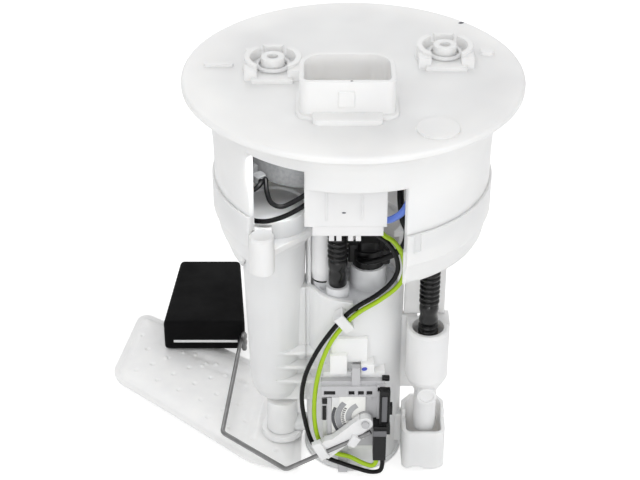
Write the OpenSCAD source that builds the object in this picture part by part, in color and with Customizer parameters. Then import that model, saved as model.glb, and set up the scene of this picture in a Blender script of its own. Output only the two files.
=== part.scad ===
// In-tank fuel pump module: a round flange carries an upper case, a pump case,
// a filter case, a level sender with a float arm, two hoses and a strainer bag.
// Origin: centre of the flange's seat face. +Z is up, the window faces -Y.

/* [Flange] */
// Radius of the round flange
flange_r = 75; // [70:0.5:80]
// Thickness of the flange
flange_t = 3.5; // [3:0.25:5]
// Outer radius of the neck under the flange
neck_r = 62; // [61.5:0.1:63]
// Wall of the neck
neck_wall = 2.6; // [2:0.1:3]
// Length of the neck down to the upper case
neck_h = 44; // [40:0.5:46]
// Height of the front panel above the window
panel_h = 20.5; // [17:0.5:24]
// Height of the closed band above the whole window
band_h = 11.5; // [9:0.5:14]

/* [Connector well] */
// Outer width of the connector well
well_w = 40; // [34:0.5:42]
// Outer depth of the connector well
well_d = 28; // [24:0.5:30]
// Height of the well above the flange
well_h = 16.5; // [12:0.5:20]
// Wall of the well
well_wall = 2; // [1.6:0.1:2.6]
// Depth of the well's box below the flange
well_low = 14; // [10:0.5:15]

/* [Ports] */
// Outer radius of a port nipple
nipple_r = 5.2; // [4.5:0.1:5.5]
// Height of a port nipple above the flange
nipple_h = 6; // [5.5:0.5:9]
// Outer radius of the collar round a port
collar_r = 12.6; // [12:0.1:13.5]
// Height of the collar above the flange
collar_h = 6; // [4:0.5:8]

/* [Upper case] */
// Wall of the upper case outside the neck's face
case_lip = 1.1; // [0.9:0.05:2]
// Height of the upper case below the neck
case_top_h = 26; // [22:0.5:30]

/* [Pump case] */
// Wall of the pump case
pump_case_wall = 2.2; // [1.8:0.1:2.4]
// Rise of the pump case's open front rim above the pump holder
rim_rise = 5; // [4:0.5:6]
// Depth of the sump under the pump can
sump_h = 18.5; // [18.4:0.1:19]

/* [Filter case] */
// Outer radius of the filter case at its top
filter_r = 14.9; // [14.5:0.1:15.5]
// Outer radius of the filter case near its bottom
filter_low_r = 12.3; // [12:0.1:13]
// Wall of the filter case
filter_wall = 2; // [1.5:0.1:2.5]

/* [Pump] */
// Outer radius of the pump can
can_r = 19; // [18:0.1:19.5]
// Thickness of the rubber cushion round the pump can
cushion_t = 1.5; // [1.2:0.1:1.8]
// Wall of the pump can
can_wall = 1; // [0.8:0.1:1.2]
// Radius of the motor shaft
shaft_r = 1.6; // [1.2:0.1:2]
// Radius of the impeller
impeller_r = 15; // [13:0.5:15.5]
// Thickness of the impeller
impeller_t = 3.6; // [3:0.1:3.7]

/* [Level sender] */
// Thickness of the sender frame
sender_t = 3; // [2.5:0.1:3.4]
// Radius of the pivot pin
pivot_r = 1.8; // [1.5:0.1:2.2]
// Diameter of the float arm's wire
arm_d = 2.4; // [2:0.1:2.8]
// Width of the float at its near end
float_w = 43.5; // [38:0.5:46]
// Width of the float at its far end
float_far_w = 33; // [30:0.5:38]
// Length of the float
float_l = 60; // [50:0.5:64]
// Height of the float
float_h = 18; // [14:0.5:19]

/* [Hoses and wires] */
// Outer radius of a hose's ridges
hose_r = 4.4; // [4:0.1:4.6]
// Diameter of the sender wires
wire_d = 2.2; // [2:0.1:2.6]
// Diameter of the pump leads
lead_d = 3; // [2.4:0.1:3.4]

/* [Strainer] */
// Thickness of the strainer bag
bag_t = 8; // [6:0.5:9]
// Radius of the strainer's neck
strainer_neck_r = 7.5; // [6.5:0.1:8]

/* [Hidden] */
$fn = 64;
// Small overlap that joins solids of one piece
join = 0.4;
// Gap between pieces that only lie beside each other
gap = 0.3;
// Radial clearance of running fits
run = 0.05;
// Rise of the flange's underside inside the neck
under_z = 0.6;

// Angles of the window, measured from +X
window_left = -136;
window_right = -69;
panel_left = -109;

// Levels
neck_z = -neck_h;
skirt_z = neck_z - case_top_h;
floor_z = skirt_z + 1;
floor_t = 3;

// Places in plan
well_c = [-3, -27.5];
well_front_r = 4;
well_back_r = 11;
port_left = [-35, 4];
port_right = [41, 16];
pump_c = [2, -6];
filter_c = [-35.7, -8];
supply_c = [-6.3, -18.4];
inner_r = can_r + cushion_t + gap;
pump_case_r = inner_r + pump_case_wall;
case_top_r = neck_r + case_lip;
return_c = [pump_c[0] + pump_case_r + 11, -22];
manifold_c = [-18, 0];
tower_c = [8, -8];
regulator_c = [-13.2, -10];
regulator_r = 5.8;
pocket_c = (neck_r - 1) * [cos(window_left + 5.6), sin(window_left + 5.6)];
strainer_c = [-33, -9];

// Filter column levels
filter_top_z = -61;
filter_low_z = -155;
filter_end_z = -168.6;
collar_top_z = -58;
collar_low_z = -74;
collar_wall = 1.5;
// Levels of the ribs between the two columns
rib_z = [-134.7, -143, -151.4];

// Jet tube and scoop levels
jet_top_z = -117;
jet_cup_z = -146;
scoop_z = -195;
scoop_front_z = scoop_z + 22;
scoop_back_z = scoop_z + 30;

// Pump levels, from the top of the pump down
holder_z = -104;
holder_t = 3;
supply_rise = 5.5;
bell_z = holder_z - 0.2;
bell_t = 7;
can_low_z = holder_z - 76;
rim_z = holder_z + rim_rise;
base_z = can_low_z - sump_h;
cover_t = 5;
plate_t = 4.7;
chamber_z = can_low_z + cover_t;
chamber_h = impeller_t + 2 * gap;
plate_z = chamber_z + chamber_h;
core_r = 11;
core_low_z = plate_z + plate_t + 3;
core_top_z = bell_z - bell_t - 11;
magnet_r = can_r - can_wall;
magnet_in_r = 12.6;
base_t = 2.5;
gallery_z = can_low_z - 4.5;
gallery_r = 4.6;

// Sender levels and places
pad_y = pump_c[1] - pump_case_r - 2;
frame_y = pad_y - sender_t;
pivot_x = 7;
pivot_z = -160.5;
board_t = 1;
board_y = frame_y - board_t;
track_t = 0.15;
rotor_y = board_y - 1.6;
rotor_t = 4;
arm_y = rotor_y - rotor_t + 0.2;
arm_z = -185;

plug_x = 10.8;
plug_z = -182;

// Float place
float_top_z = -172;
float_x = -54;
float_y = 57;

function arc(c, r, a0, a1, n) =
    [for (i = [0:n]) let (a = a0 + (a1 - a0) * i / n) c + r * [cos(a), sin(a)]];
function unit(v) = v / norm(v);
function along(p, i) = unit(p[min(i + 1, len(p) - 1)] - p[max(i - 1, 0)]);
function flat_to(n, t) = unit(n - (n * t) * t);
function sides(p, i, n) = i == len(p) ? [] : let (m = flat_to(n, along(p, i))) concat([m], sides(p, i + 1, m));
function bend(p, i, t) =
    let (a = p[max(i - 1, 0)], b = p[i], c = p[i + 1], d = p[min(i + 2, len(p) - 1)])
    0.5 * (2 * b + (c - a) * t + (2 * a - 5 * b + 4 * c - d) * t * t + (3 * b - 3 * c + d - a) * t * t * t);
function smooth(p, k) = concat([for (i = [0:len(p) - 2], j = [0:k - 1]) bend(p, i, j / k)], [p[len(p) - 1]]);

// A round tube of radius r swept along the points of a path
module sweep(path, r, count = 8, start = [0, 1, 0]) {
    n = len(path);
    m = sides(path, 0, start);
    points = [for (i = [0:n - 1]) let (t = along(path, i), b = cross(t, m[i]))
        for (j = [0:count - 1]) path[i] + r * (cos(360 * j / count) * m[i] + sin(360 * j / count) * b)];
    walls = [for (i = [0:n - 2], j = [0:count - 1]) let (k = (j + 1) % count)
        for (f = [0, 1]) f == 0 ? [(i + 1) * count + j, i * count + k, i * count + j]
            : [(i + 1) * count + j, (i + 1) * count + k, i * count + k]];
    ends = [[for (j = [0:count - 1]) j], [for (j = [count - 1:-1:0]) (n - 1) * count + j]];
    polyhedron(points, concat(walls, ends));
}

module at(c, z = 0) {
    translate([c[0], c[1], z]) children();
}

module ring(r, inner, h) {
    difference() {
        cylinder(r = r, h = h);
        translate([0, 0, -1]) cylinder(r = inner, h = h + 2);
    }
}

// Upright slab with rounded corners, centred in plan
module slab(w, d, r, h) {
    linear_extrude(h) {
        square([w - 2 * r, d], center = true);
        square([w, d - 2 * r], center = true);
        for (x = [-1, 1], y = [-1, 1]) translate([x * (w / 2 - r), y * (d / 2 - r)]) circle(r = r);
    }
}

// Upright slab with its two front corners of radius f and its back corners of radius b
module d_slab(w, d, f, b, h) {
    linear_extrude(h) {
        translate([b - w / 2, 0]) square([w - 2 * b, d / 2]);
        translate([f - w / 2, -d / 2]) square([w - 2 * f, d - b]);
        translate([-w / 2, f - d / 2]) square([w, d - f - b]);
        for (x = [-1, 1]) {
            translate([x * (w / 2 - f), f - d / 2]) circle(r = f);
            translate([x * (w / 2 - b), d / 2 - b]) circle(r = b);
        }
    }
}

// Pie-shaped prism between two angles, used to cut windows
module wedge(a0, a1, r, z, h) {
    steps = ceil((a1 - a0) / 40);
    translate([0, 0, z]) linear_extrude(h) polygon(concat([[0, 0]],
        [for (i = [0:steps]) let (a = a0 + (a1 - a0) * i / steps) r * [cos(a), sin(a)]]));
}

module cylinder_y(r, y0, y1) {
    translate([0, y1, 0]) rotate([90, 0, 0]) cylinder(r = r, h = y1 - y0);
}

// Flange

module flange_disc() {
    edge = 1.4;
    rotate_extrude() polygon(concat(
        [[0, under_z], [neck_r - neck_wall - 1, under_z], [neck_r - neck_wall, 0], [flange_r - 0.6, 0]],
        [[flange_r, 0.6]], arc([flange_r - edge, flange_t - edge], edge, 0, 90, 4), [[0, flange_t]]));
}

module neck() {
    spigot_r = neck_r - 1.4;
    inner = neck_r - neck_wall;
    flare = 4;
    fillet = 5;
    difference() {
        rotate_extrude() polygon(concat(
            [[inner, join], [neck_r + flare + fillet, join]],
            arc([neck_r + flare + fillet, -fillet], fillet, 90, 180, 4),
            [for (i = [1:6]) let (a = 15 * i) [neck_r + flare * (1 - sin(a)), -fillet - 30 * (1 - cos(a))]],
            [[neck_r, neck_z], [spigot_r, neck_z], [spigot_r, neck_z - 8], [inner, neck_z - 8]]));
        wedge(window_left, window_right, 2 * neck_r, neck_z - 9, neck_h + 9 - panel_h);
        wedge(window_left, panel_left, 2 * neck_r, -panel_h - 1, panel_h + 1 - band_h);
    }
}

module well_outside() {
    at(well_c, flange_t - join) {
        d_slab(well_w, well_d, well_front_r, well_back_r, well_h + join);
        d_slab(well_w + 3, well_d + 4, well_front_r + 1.5, well_back_r + 1.5, 1.6 + join);
        translate([0, -well_d / 2 - 2.5, 0]) slab(29, 9, 3, 2.4 + join);
        // Raised catch pad on the front wall
        translate([-3.9, -well_d / 2 - 0.5, well_h - 11]) cube([6.8, 0.5 + join, 7]);
    }
    at(well_c, -well_low) d_slab(well_w - 4, well_d - 4, well_front_r - 1, well_back_r - 2, well_low + flange_t);
}

module well_recess() {
    at(well_c, -well_low + 2)
        d_slab(well_w - 4 - 2 * well_wall, well_d - 4 - 2 * well_wall, 1.4, well_back_r - 4, well_low + 20);
    at(well_c, flange_t - 1)
        d_slab(well_w - 2 * well_wall, well_d - 2 * well_wall, 2, well_back_r - well_wall, well_h + 2);
}

module port_outside() {
    cylinder(r = collar_r + 0.6, h = 1.2 + join);
    difference() {
        ring(collar_r, collar_r - 2.6, collar_h + join);
        translate([-6.6, -2 * collar_r, -1]) cube([13.2, 2 * collar_r, collar_h + 4]);
        for (a = [62, 118]) rotate([0, 0, a]) translate([0, -1.2, 3.2]) cube([collar_r + 2, 2.4, 9]);
    }
    for (x = [-1, 1]) translate([x * 9.4 - 2.8, -12.4, 0]) cube([5.6, 7, collar_h - 0.6]);
    translate([-9, -15, 0]) cube([18, 5, 1.8 + join]);
    cylinder(r = nipple_r, h = nipple_h + join);
}

module flange_nipples() {
    for (c = [port_left, port_right]) at(c, flange_t - join) port_outside();
    at(port_right, -12) cylinder(r = 5, h = 13);
    at(port_right + [-4, 10], flange_t - join) cylinder(r = 1.6, h = 1 + join);
    at(port_left + [9, 12], flange_t - join) cylinder(r = 1.6, h = 1 + join);
    at(port_left + [-9, 13], flange_t - join) slab(7, 3, 1, 3 + join);
}

module flange() {
    color("whitesmoke") difference() {
        union() {
            flange_disc();
            neck();
            well_outside();
            flange_nipples();
            at(port_left + [-24, 3], flange_t - join) slab(13, 3.2, 1.2, 1.2 + join);
            at(port_right + [19, 3], flange_t - join) slab(6, 5, 1.2, 1.8 + join);
            at([34, -51], flange_t - join) cylinder(r = 9, h = 0.8 + join);
        }
        well_recess();
        at(port_right, -20) cylinder(r = 2.4, h = 60);
        at(port_left, -20) cylinder(r = 2.4, h = 60);
    }
}

module terminal_pins() {
    color("goldenrod") for (i = [0:4]) translate([well_c[0] - 10.4 + 5 * i, well_c[1] - 1, -well_low + 2]) {
        cube([0.8, 2.2, 11]);
        translate([0.1, 0.3, 11]) cube([0.6, 1.6, 2]);
    }
}

module port_seals() {
    bead = 0.9;
    color("dimgray") for (c = [port_left, port_right]) at(c, flange_t + 1.2 + bead)
        rotate_extrude() translate([nipple_r + 2 * bead, 0]) circle(r = bead, $fn = 24);
}

// Upper case

module case_wall() {
    clear = 0.2;
    bore_r = neck_r - 1.4 + clear;
    rotate_extrude() polygon([[bore_r, neck_z], [case_top_r, neck_z], [case_top_r, neck_z - 15],
        [case_top_r - 0.9, neck_z - 17], [case_top_r - 2.6, skirt_z + 1], [case_top_r - 3.5, skirt_z],
        [bore_r - 2, skirt_z], [bore_r - 2, neck_z - 8.5], [bore_r, neck_z - 8.5]]);
}

module case_floor() {
    difference() {
        translate([0, 0, floor_z - 1]) cylinder(r = neck_r - 2, h = floor_t);
        at([4, -42], floor_z - 3) slab(47, 48, 4, floor_t + 4);
        at(pump_c, floor_z - 3) cylinder(r = inner_r, h = floor_t + 4);
        at(return_c, floor_z - 3) cylinder(r = 7, h = floor_t + 4);
        at(regulator_c, floor_z - 3) cylinder(r = regulator_r + gap, h = floor_t + 4);
        wedge(window_left, window_right, 2 * neck_r, floor_z - 3, floor_t + 4);
    }
}

// Closed boss at the window's left edge
module pocket() {
    at(pocket_c, skirt_z + 0.8) {
        cylinder(r = 5.5, h = 17.4);
        translate([0, 0, 17.4 - join]) cylinder(r1 = 5.5, r2 = 4.7, h = 0.8 + join);
        translate([-5, 0, 0.6]) cube([9, 16, 12.5]);
    }
}

module filter_socket() {
    r = filter_r + gap + collar_wall;
    at(filter_c, collar_low_z) cylinder(r = r, h = collar_top_z - collar_low_z);
    hull() {
        translate([11 - neck_r, -12, skirt_z]) cylinder(r = 7.6, h = 3, $fn = 32);
        translate([-48.2, -10, -84]) cylinder(r = 6, h = 2, $fn = 32);
        translate([-45, -9, -92.5]) cylinder(r = 4.8, h = 1, $fn = 32);
    }
}

module upper_case() {
    edge_r = case_top_r - 2.8;
    color("white") difference() {
        union() {
            difference() {
                case_wall();
                wedge(window_left, window_right, 2 * neck_r, skirt_z - 1, case_top_h + 2);
            }
            case_floor();
            pocket();
            filter_socket();
            // Wall behind the return hose that carries the jet tube
            translate([pump_c[0] + pump_case_r + gap, return_c[1] + 11.5, jet_top_z - 1 + gap])
                cube([19, 2.6, skirt_z + 3 - jet_top_z - gap]);
            // Rounded front edge of the right wall
            rotate([0, 0, window_right + 0.3]) translate([edge_r, 0, skirt_z + 1])
                cylinder(r = 0.9, h = case_top_h - 10);
        }
        at(filter_c, -130) cylinder(r = filter_r + gap, h = 130 + filter_top_z);
        at(filter_c, collar_top_z - 1.6) cylinder(r = filter_r - 0.6, h = 3);
        at(pump_c, collar_low_z - 1) cylinder(r = pump_case_r + gap, h = skirt_z - collar_low_z + 1);
        // Shallow groove beside the window
        rotate([0, 0, window_right + 4.4]) translate([case_top_r - 0.6, -1.7, neck_z - 9]) cube([3, 3.4, 20]);
    }
}

// Harness and earth

module harness_plug() {
    low_z = -48;
    body_z = -43.2;
    color("white") difference() {
        union() {
            translate([-21, -52, body_z]) cube([35, 18, -16 - body_z]);
            translate([-17.6, -51.6, low_z]) cube([30.2, 17, 8]);
            for (x = [-10.6, -7.4, -2.4, 0.9]) translate([x, -51, low_z - 3]) cube([2.2, 3, 4]);
            for (x = [-12, 3]) translate([x, -52.5, -40]) cube([0.8, 1, 22]);
        }
        for (i = [0:4]) translate([-14.5 + 5.6 * i, -46, low_z - 1]) cube([3, 5, 6]);
        for (x = [-16, 8]) translate([x, -53, -18.5]) cube([4, 3, 4]);
    }
    color("white") translate([-15, -47, -16 - join]) cube([24, 10, 16 + join - well_low]);
}

module terminal_block() {
    color("black") {
        translate([17, -38, -31]) cube([5, 5, 31 + under_z]);
        translate([16.4, -38.6, -31]) cube([6.2, 6.2, 6]);
    }
}

module outlet_manifold() {
    r = 30.5;
    top = -20;
    low = -38;
    color("gray") difference() {
        union() {
            at(manifold_c) rotate_extrude()
                polygon([[0, low], [r - 1, low], [r, low + 1], [r, top - 4], [r - 4, top], [0, top]]);
            at(port_left, top - join) cylinder(r = 8, h = under_z - top + join);
            at(supply_c, low - 4) cylinder(r = 4.2, h = 5);
            translate([-44, -21, low + 1]) rotate([0, 0, 40]) cube([5, 3, 5]);
        }
        at(port_left, top - 3) cylinder(r = 2.4, h = 30);
        at(supply_c, low - 5) cylinder(r = 2.4, h = 12);
    }
}

module earth_boot() {
    color("dimgray") translate([-41.5, -24.2, -37]) rotate([0, 0, 40]) translate([0, -0.8, 0]) slab(5, 4.4, 1, 3.6);
}

// Hoses

// Ridges of a straight hose from z0 up to z1, with a smooth cuff at the bottom
module ribbed_hose(z0, z1, cuff) {
    pitch = 2.6;
    count = floor((z1 - z0 - cuff) / pitch);
    low = z1 - count * pitch;
    rotate_extrude() polygon(concat([[0, z0], [hose_r - 0.6, z0], [hose_r, z0 + 1], [hose_r - 0.4, low - 2]],
        [for (i = [0:count - 1], p = [[-0.9, 0], [0, 0.6], [0, 1.5], [-0.9, 2.1]])
            [hose_r + p[0], low + i * pitch + p[1]]],
        [[hose_r - 0.9, z1], [0, z1]]));
}

module supply_hose() {
    color("black") at(supply_c) ribbed_hose(holder_z + holder_t + supply_rise, -42, 8);
}

module return_hose() {
    straight_z = -66;
    color("black") {
        at(return_c) ribbed_hose(-128, straight_z, 14);
        sweep(smooth([[36, -22, straight_z - 1], [36, -22, -60], [36.5, -17, -48], [39, -4, -39], [41, 10, -30],
            [41, 16, -20], [41, 16, -14], [41, 16, -12.3]], 2), hose_r - 0.4, 12);
    }
}

// Pump case

module case_shell() {
    difference() {
        union() {
            at(pump_c, base_z) cylinder(r = pump_case_r, h = rim_z - base_z);
            at(pump_c, base_z) cylinder(r = pump_case_r + 1, h = base_t);
            // Tall rear wall up to the upper case
            intersection() {
                at(pump_c, rim_z - 1) cylinder(r = pump_case_r, h = skirt_z - rim_z + 1);
                translate([pump_c[0] - 30, pump_c[1] - 7, rim_z - 2]) cube([60, 60, 60]);
            }
        }
        at(pump_c, base_z + base_t) cylinder(r = inner_r, h = 140);
    }
}

module sender_pad() {
    difference() {
        translate([-13, pad_y, -184]) cube([29, 12, 47]);
        translate([-9, pad_y - 1, -176]) cube([4, 3, 30]);
        translate([8, pad_y - 1, -176]) cube([4, 3, 30]);
    }
    // Raised pad and the two lugs that hold the sender
    translate([-9.3, pad_y, -131]) cube([17, 6, 13.3]);
    translate([-9.8, pad_y - 2.6, -136.5]) cube([8, 8, 11]);
    translate([4.7, pad_y - 2.6, -136.5]) cube([6.2, 8, 6]);
}

module web_ribs() {
    seam_x = -21;
    translate([seam_x, -15, -166]) cube([6, 12, 66]);
    for (z = rib_z) translate([seam_x, -21, z]) cube([8, 14, 1.6]);
}

module pump_case() {
    color("white") difference() {
        union() {
            case_shell();
            sender_pad();
            web_ribs();
            // Arm that carries the jet tube
            translate([pump_c[0] + pump_case_r - 3, -12, -160]) cube([9.6, 4, jet_top_z - 1 + 160]);
            translate([pump_c[0] + pump_case_r - 4, -17, -190]) cube([4.3, 6, 16]);
        }
        at(pump_c, base_z + base_t) cylinder(r = inner_r, h = 100);
        at(pump_c, base_z - 1) cylinder(r = 3, h = 5);
        // Room for the regulator
        at(regulator_c, rim_z - 2) cylinder(r = regulator_r + gap, h = skirt_z - rim_z + 4);
        // Slot in the rim, gallery hole and foot recess
        translate([0.6, pad_y, rim_z - 6]) cube([2.6, 8, 8]);
        translate([-30, strainer_c[1], gallery_z]) rotate([0, 90, 0]) cylinder(r = gallery_r - 1.2, h = 20);
    }
}

// Clip that lies across the two sender wires, turned to their slope
module wire_clip() {
    color("white") difference() {
        translate([-3.4, 0, rim_z - 7.4]) rotate([0, -37, 0]) difference() {
            translate([-2.4, pad_y - 4.6, -4.6]) cube([4.8, 7.2, 9.2]);
            translate([-3.4, pad_y - 3.4, -3.6]) cube([6.8, 3.4, 7.2]);
        }
        at(pump_c, -120) cylinder(r = pump_case_r, h = 30);
    }
}

// Filter case

module filter_profile(r0, r1, wall, low) {
    rotate_extrude() polygon(concat(
        [[0, filter_top_z - wall], [r0 - wall, filter_top_z - wall], [r0 - wall, filter_top_z - 16]],
        [[r1 - wall, filter_low_z]], [for (i = [1:5]) let (a = 18 * i)
            [(r1 - wall) * cos(a), filter_low_z - (filter_low_z - low) * sin(a)]]));
}

module filter_case() {
    seam_x = -21;
    color("whitesmoke") difference() {
        union() {
            at(filter_c) filter_profile(filter_r, filter_low_r, 0, filter_end_z);
            translate([filter_c[0], -15, -166]) cube([seam_x - filter_c[0], 12, 66]);
            for (z = rib_z) translate([filter_c[0], -21, z]) cube([seam_x - filter_c[0], 14, 1.6]);
        }
        at(filter_c) filter_profile(filter_r, filter_low_r, filter_wall, filter_end_z + filter_wall);
        at(filter_c, filter_top_z - 5) cylinder(r = filter_r - filter_wall, h = 10);
        translate([seam_x, -40, -180]) cube([20, 60, 130]);
    }
}

module filter_cap() {
    color("white") at(filter_c, filter_top_z - 5) cylinder(r = filter_r - filter_wall, h = 5);
}

module filter_element() {
    folds = 24;
    tip_r = filter_low_r - filter_wall - 0.9;
    low = filter_low_z + 1;
    cap_low = filter_top_z - 12;
    color("wheat") difference() {
        union() {
            at(filter_c, low) linear_extrude(cap_low - low + join) polygon([for (i = [0:2 * folds - 1])
                let (a = 180 * i / folds) (i % 2 == 0 ? tip_r : tip_r - 2.4) * [cos(a), sin(a)]]);
            at(filter_c, cap_low) cylinder(r = tip_r + 0.3, h = filter_top_z - 5 - cap_low);
        }
        at(filter_c, low - 1) cylinder(r = 4.5, h = cap_low - low);
    }
}

// Pump holder, regulator and plug

module pump_holder() {
    lip_r = inner_r - 0.2;
    color("silver") difference() {
        union() {
            at(pump_c, holder_z) cylinder(r = lip_r, h = holder_t);
            at(pump_c, holder_z) ring(lip_r, lip_r - 1.8, holder_t + 1.4);
            at(supply_c, holder_z) cylinder(r = 5.4, h = holder_t + supply_rise);
            at(tower_c, holder_z) cylinder(r = 8.6, h = 14);
            at(regulator_c, holder_z) cylinder(r = 4.6, h = holder_t + 3.5);
            translate([tower_c[0] + 2, pump_c[1] + 3, holder_z]) cube([2, 13, holder_t + 2]);
            translate([pump_c[0] - 14, pump_c[1] + 6, holder_z]) cube([26, 2, holder_t + 2]);
        }
        at(supply_c, holder_z - 1) cylinder(r = 3.3, h = 4);
        at(supply_c, holder_z) cylinder(r = 1.5, h = holder_t + supply_rise + 1);
        at(tower_c, holder_z + 8) cylinder(r = 6.4, h = 10);
        at(regulator_c, holder_z + 1.2) cylinder(r = 2, h = 9);
        at(pump_c, -120) intersection() {
            cylinder(r = lip_r + 3, h = 60);
            translate([-1.4, -lip_r - 3, holder_z + holder_t + 120]) cube([2.6, 6, 10]);
        }
    }
}

module pressure_regulator() {
    low = holder_z + holder_t + 3.5 + 1.2;
    top = holder_z + 42;
    color("whitesmoke") at(regulator_c) difference() {
        rotate_extrude() polygon([[0, low], [regulator_r - 0.6, low], [regulator_r - 0.6, low + 3],
            [regulator_r, low + 3.4], [regulator_r - 0.5, top - 1], [regulator_r - 1.4, top], [0, top]]);
        translate([0, 0, low - 1]) cylinder(r = 1.6, h = 3);
        translate([0, 0, low + 1.5]) cylinder(r = 3.6, h = 18);
        translate([0, 0, top - 18]) cylinder(r = 1.2, h = 20);
    }
}

module regulator_ring() {
    color("black") at(regulator_c, holder_z + holder_t + 3.5) ring(regulator_r - 1, 2.6, 1.2);
}

module regulator_valve() {
    low = holder_z + holder_t + 3.5 + 1.2;
    color("silver") at(regulator_c, low + 1.5) {
        cylinder(r = 3.6 - run, h = 2.4);
        translate([0, 0, 2.4]) cylinder(r = 1.5, h = 3);
    }
}

// Helical spring of round wire
module coil(r, wire, h, turns) {
    steps = 10 * turns;
    sweep([for (i = [0:steps]) [r * cos(36 * i), r * sin(36 * i), wire + (h - 2 * wire) * i / steps]], wire, 6, [0, 0, 1]);
}

module regulator_spring() {
    low = holder_z + holder_t + 3.5 + 1.2;
    color("silver") at(regulator_c, low + 4) coil(2.6, 0.4, 15, 6);
}

module pump_plug() {
    color("black") {
        at(tower_c, holder_z + 8.2) cylinder(r = 6.2, h = 6);
        at(tower_c, holder_z + 14) cylinder(r = 7.4, h = 9);
        at(tower_c, holder_z + 22.6) slab(9, 11, 2, 5);
        at(tower_c + [5.5, 0], holder_z + 15) slab(9, 8, 2, 7.5);
        at(tower_c + [-7, -1], holder_z + 16) slab(5, 5, 1, 9);
    }
}

// Pump

module pump_can() {
    color("silver") at(pump_c, can_low_z) ring(can_r, can_r - can_wall, bell_z - bell_t + 2 - can_low_z);
}

module outlet_bell() {
    color("darkgray") difference() {
        union() {
            at(pump_c, bell_z - bell_t + 2) cylinder(r = can_r, h = bell_t - 2);
            at(pump_c, bell_z - bell_t) cylinder(r = can_r - can_wall, h = 2 + join);
            at(supply_c, bell_z - join) cylinder(r = 3.2, h = 2.2 + join);
        }
        at(supply_c, bell_z - bell_t + 2.2) cylinder(r = 2.6, h = 10);
        at(supply_c, bell_z - bell_t - 1) cylinder(r = 1.5, h = 10);
        at(pump_c, bell_z - bell_t - 1) cylinder(r = shaft_r + run, h = 5);
    }
}

module check_valve() {
    color("dimgray") at(supply_c, bell_z - bell_t + 2.2) {
        cylinder(r = 2.6 - run, h = 1.2);
        translate([0, 0, 1.2]) cylinder(r = 1, h = 1);
    }
}

module check_spring() {
    color("silver") at(supply_c, bell_z - bell_t + 3.6) coil(1.7, 0.25, 6.3, 5);
}

module brushes() {
    low = bell_z - bell_t - 7;
    color("dimgray") for (s = [-1, 1]) at(pump_c, low) translate([s * 8.9 - 2.4, -2, 0]) cube([4.8, 4, 7]);
}

module magnets() {
    color("dimgray") at(pump_c, core_low_z - 1) difference() {
        ring(magnet_r, magnet_in_r, core_top_z - core_low_z + 2);
        for (s = [-1, 1]) translate([-2.5, s * 15 - 10, -1]) cube([5, 20, core_top_z - core_low_z + 5]);
    }
}

module armature() {
    slots = 8;
    bush_z = bell_z - bell_t;
    color("steelblue") at(pump_c, 0) {
        difference() {
            translate([0, 0, core_low_z]) cylinder(r = core_r, h = core_top_z - core_low_z);
            for (i = [0:slots - 1]) rotate([0, 0, 360 * i / slots]) {
                translate([core_r - 2, -0.5, core_low_z - 1]) cube([4, 1, core_top_z - core_low_z + 2]);
                translate([core_r - 3.4, 0, core_low_z - 1]) cylinder(r = 1.8, h = core_top_z - core_low_z + 2, $fn = 24);
            }
        }
        translate([0, 0, core_top_z - join]) cylinder(r = 6.2, h = bush_z - 1 - core_top_z);
        translate([0, 0, chamber_z - 2.2]) cylinder(r = shaft_r, h = bush_z + 3 - chamber_z);
        translate([0, 0, core_low_z - 1.6]) cylinder(r = 4, h = 1.6 + join);
    }
}

module impeller() {
    vanes = 30;
    color("dimgray") at(pump_c, chamber_z + gap) difference() {
        cylinder(r = impeller_r, h = impeller_t);
        translate([0, 0, -1]) cylinder(r = shaft_r, h = impeller_t + 2);
        for (i = [0:vanes - 1], z = [-0.01, impeller_t - 1.3]) rotate([0, 0, 360 * i / vanes])
            translate([impeller_r - 3, -0.7, z]) cube([4, 1.4, 1.31]);
    }
}

module outlet_plate() {
    color("darkgray") at(pump_c, plate_z) difference() {
        union() {
            cylinder(r = can_r - can_wall, h = plate_t);
            translate([0, 0, -chamber_h]) ring(can_r - can_wall, impeller_r + gap, chamber_h + join);
        }
        translate([0, 0, -1]) cylinder(r = shaft_r + run, h = plate_t + 2);
        rotate([0, 0, 60]) translate([impeller_r - 2, 0, -1]) cylinder(r = 1.5, h = plate_t + 2);
    }
}

module inlet_cover() {
    color("darkgray") at(pump_c, can_low_z) difference() {
        union() {
            cylinder(r = can_r - can_wall, h = cover_t);
            rotate([0, 0, 200]) translate([impeller_r - 5.5, 0, -6]) cylinder(r = 5, h = 7);
        }
        translate([0, 0, cover_t - 2.5]) cylinder(r = shaft_r + run, h = 4);
        rotate([0, 0, 200]) translate([impeller_r - 5.5, 0, -7]) cylinder(r = 3.4, h = 9);
        rotate([0, 0, 200]) translate([impeller_r - 2.4, 0, -7]) cylinder(r = 1.4, h = 20);
    }
}

module pump_cushion() {
    color("dimgray") {
        at(pump_c, can_low_z - 0.6) ring(inner_r - gap, can_r - 3, 0.6);
        at(pump_c, can_low_z) ring(inner_r - gap, can_r, 6);
        for (i = [0:3]) rotate_about(pump_c, 45 + 90 * i) translate([can_r - 2, -1.5, base_z + base_t])
            cube([2.6, 3, can_low_z - 0.6 - base_z - base_t]);
    }
}

module rotate_about(c, a) {
    translate([c[0], c[1], 0]) rotate([0, 0, a]) children();
}

// Jet tube and scoop

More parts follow.
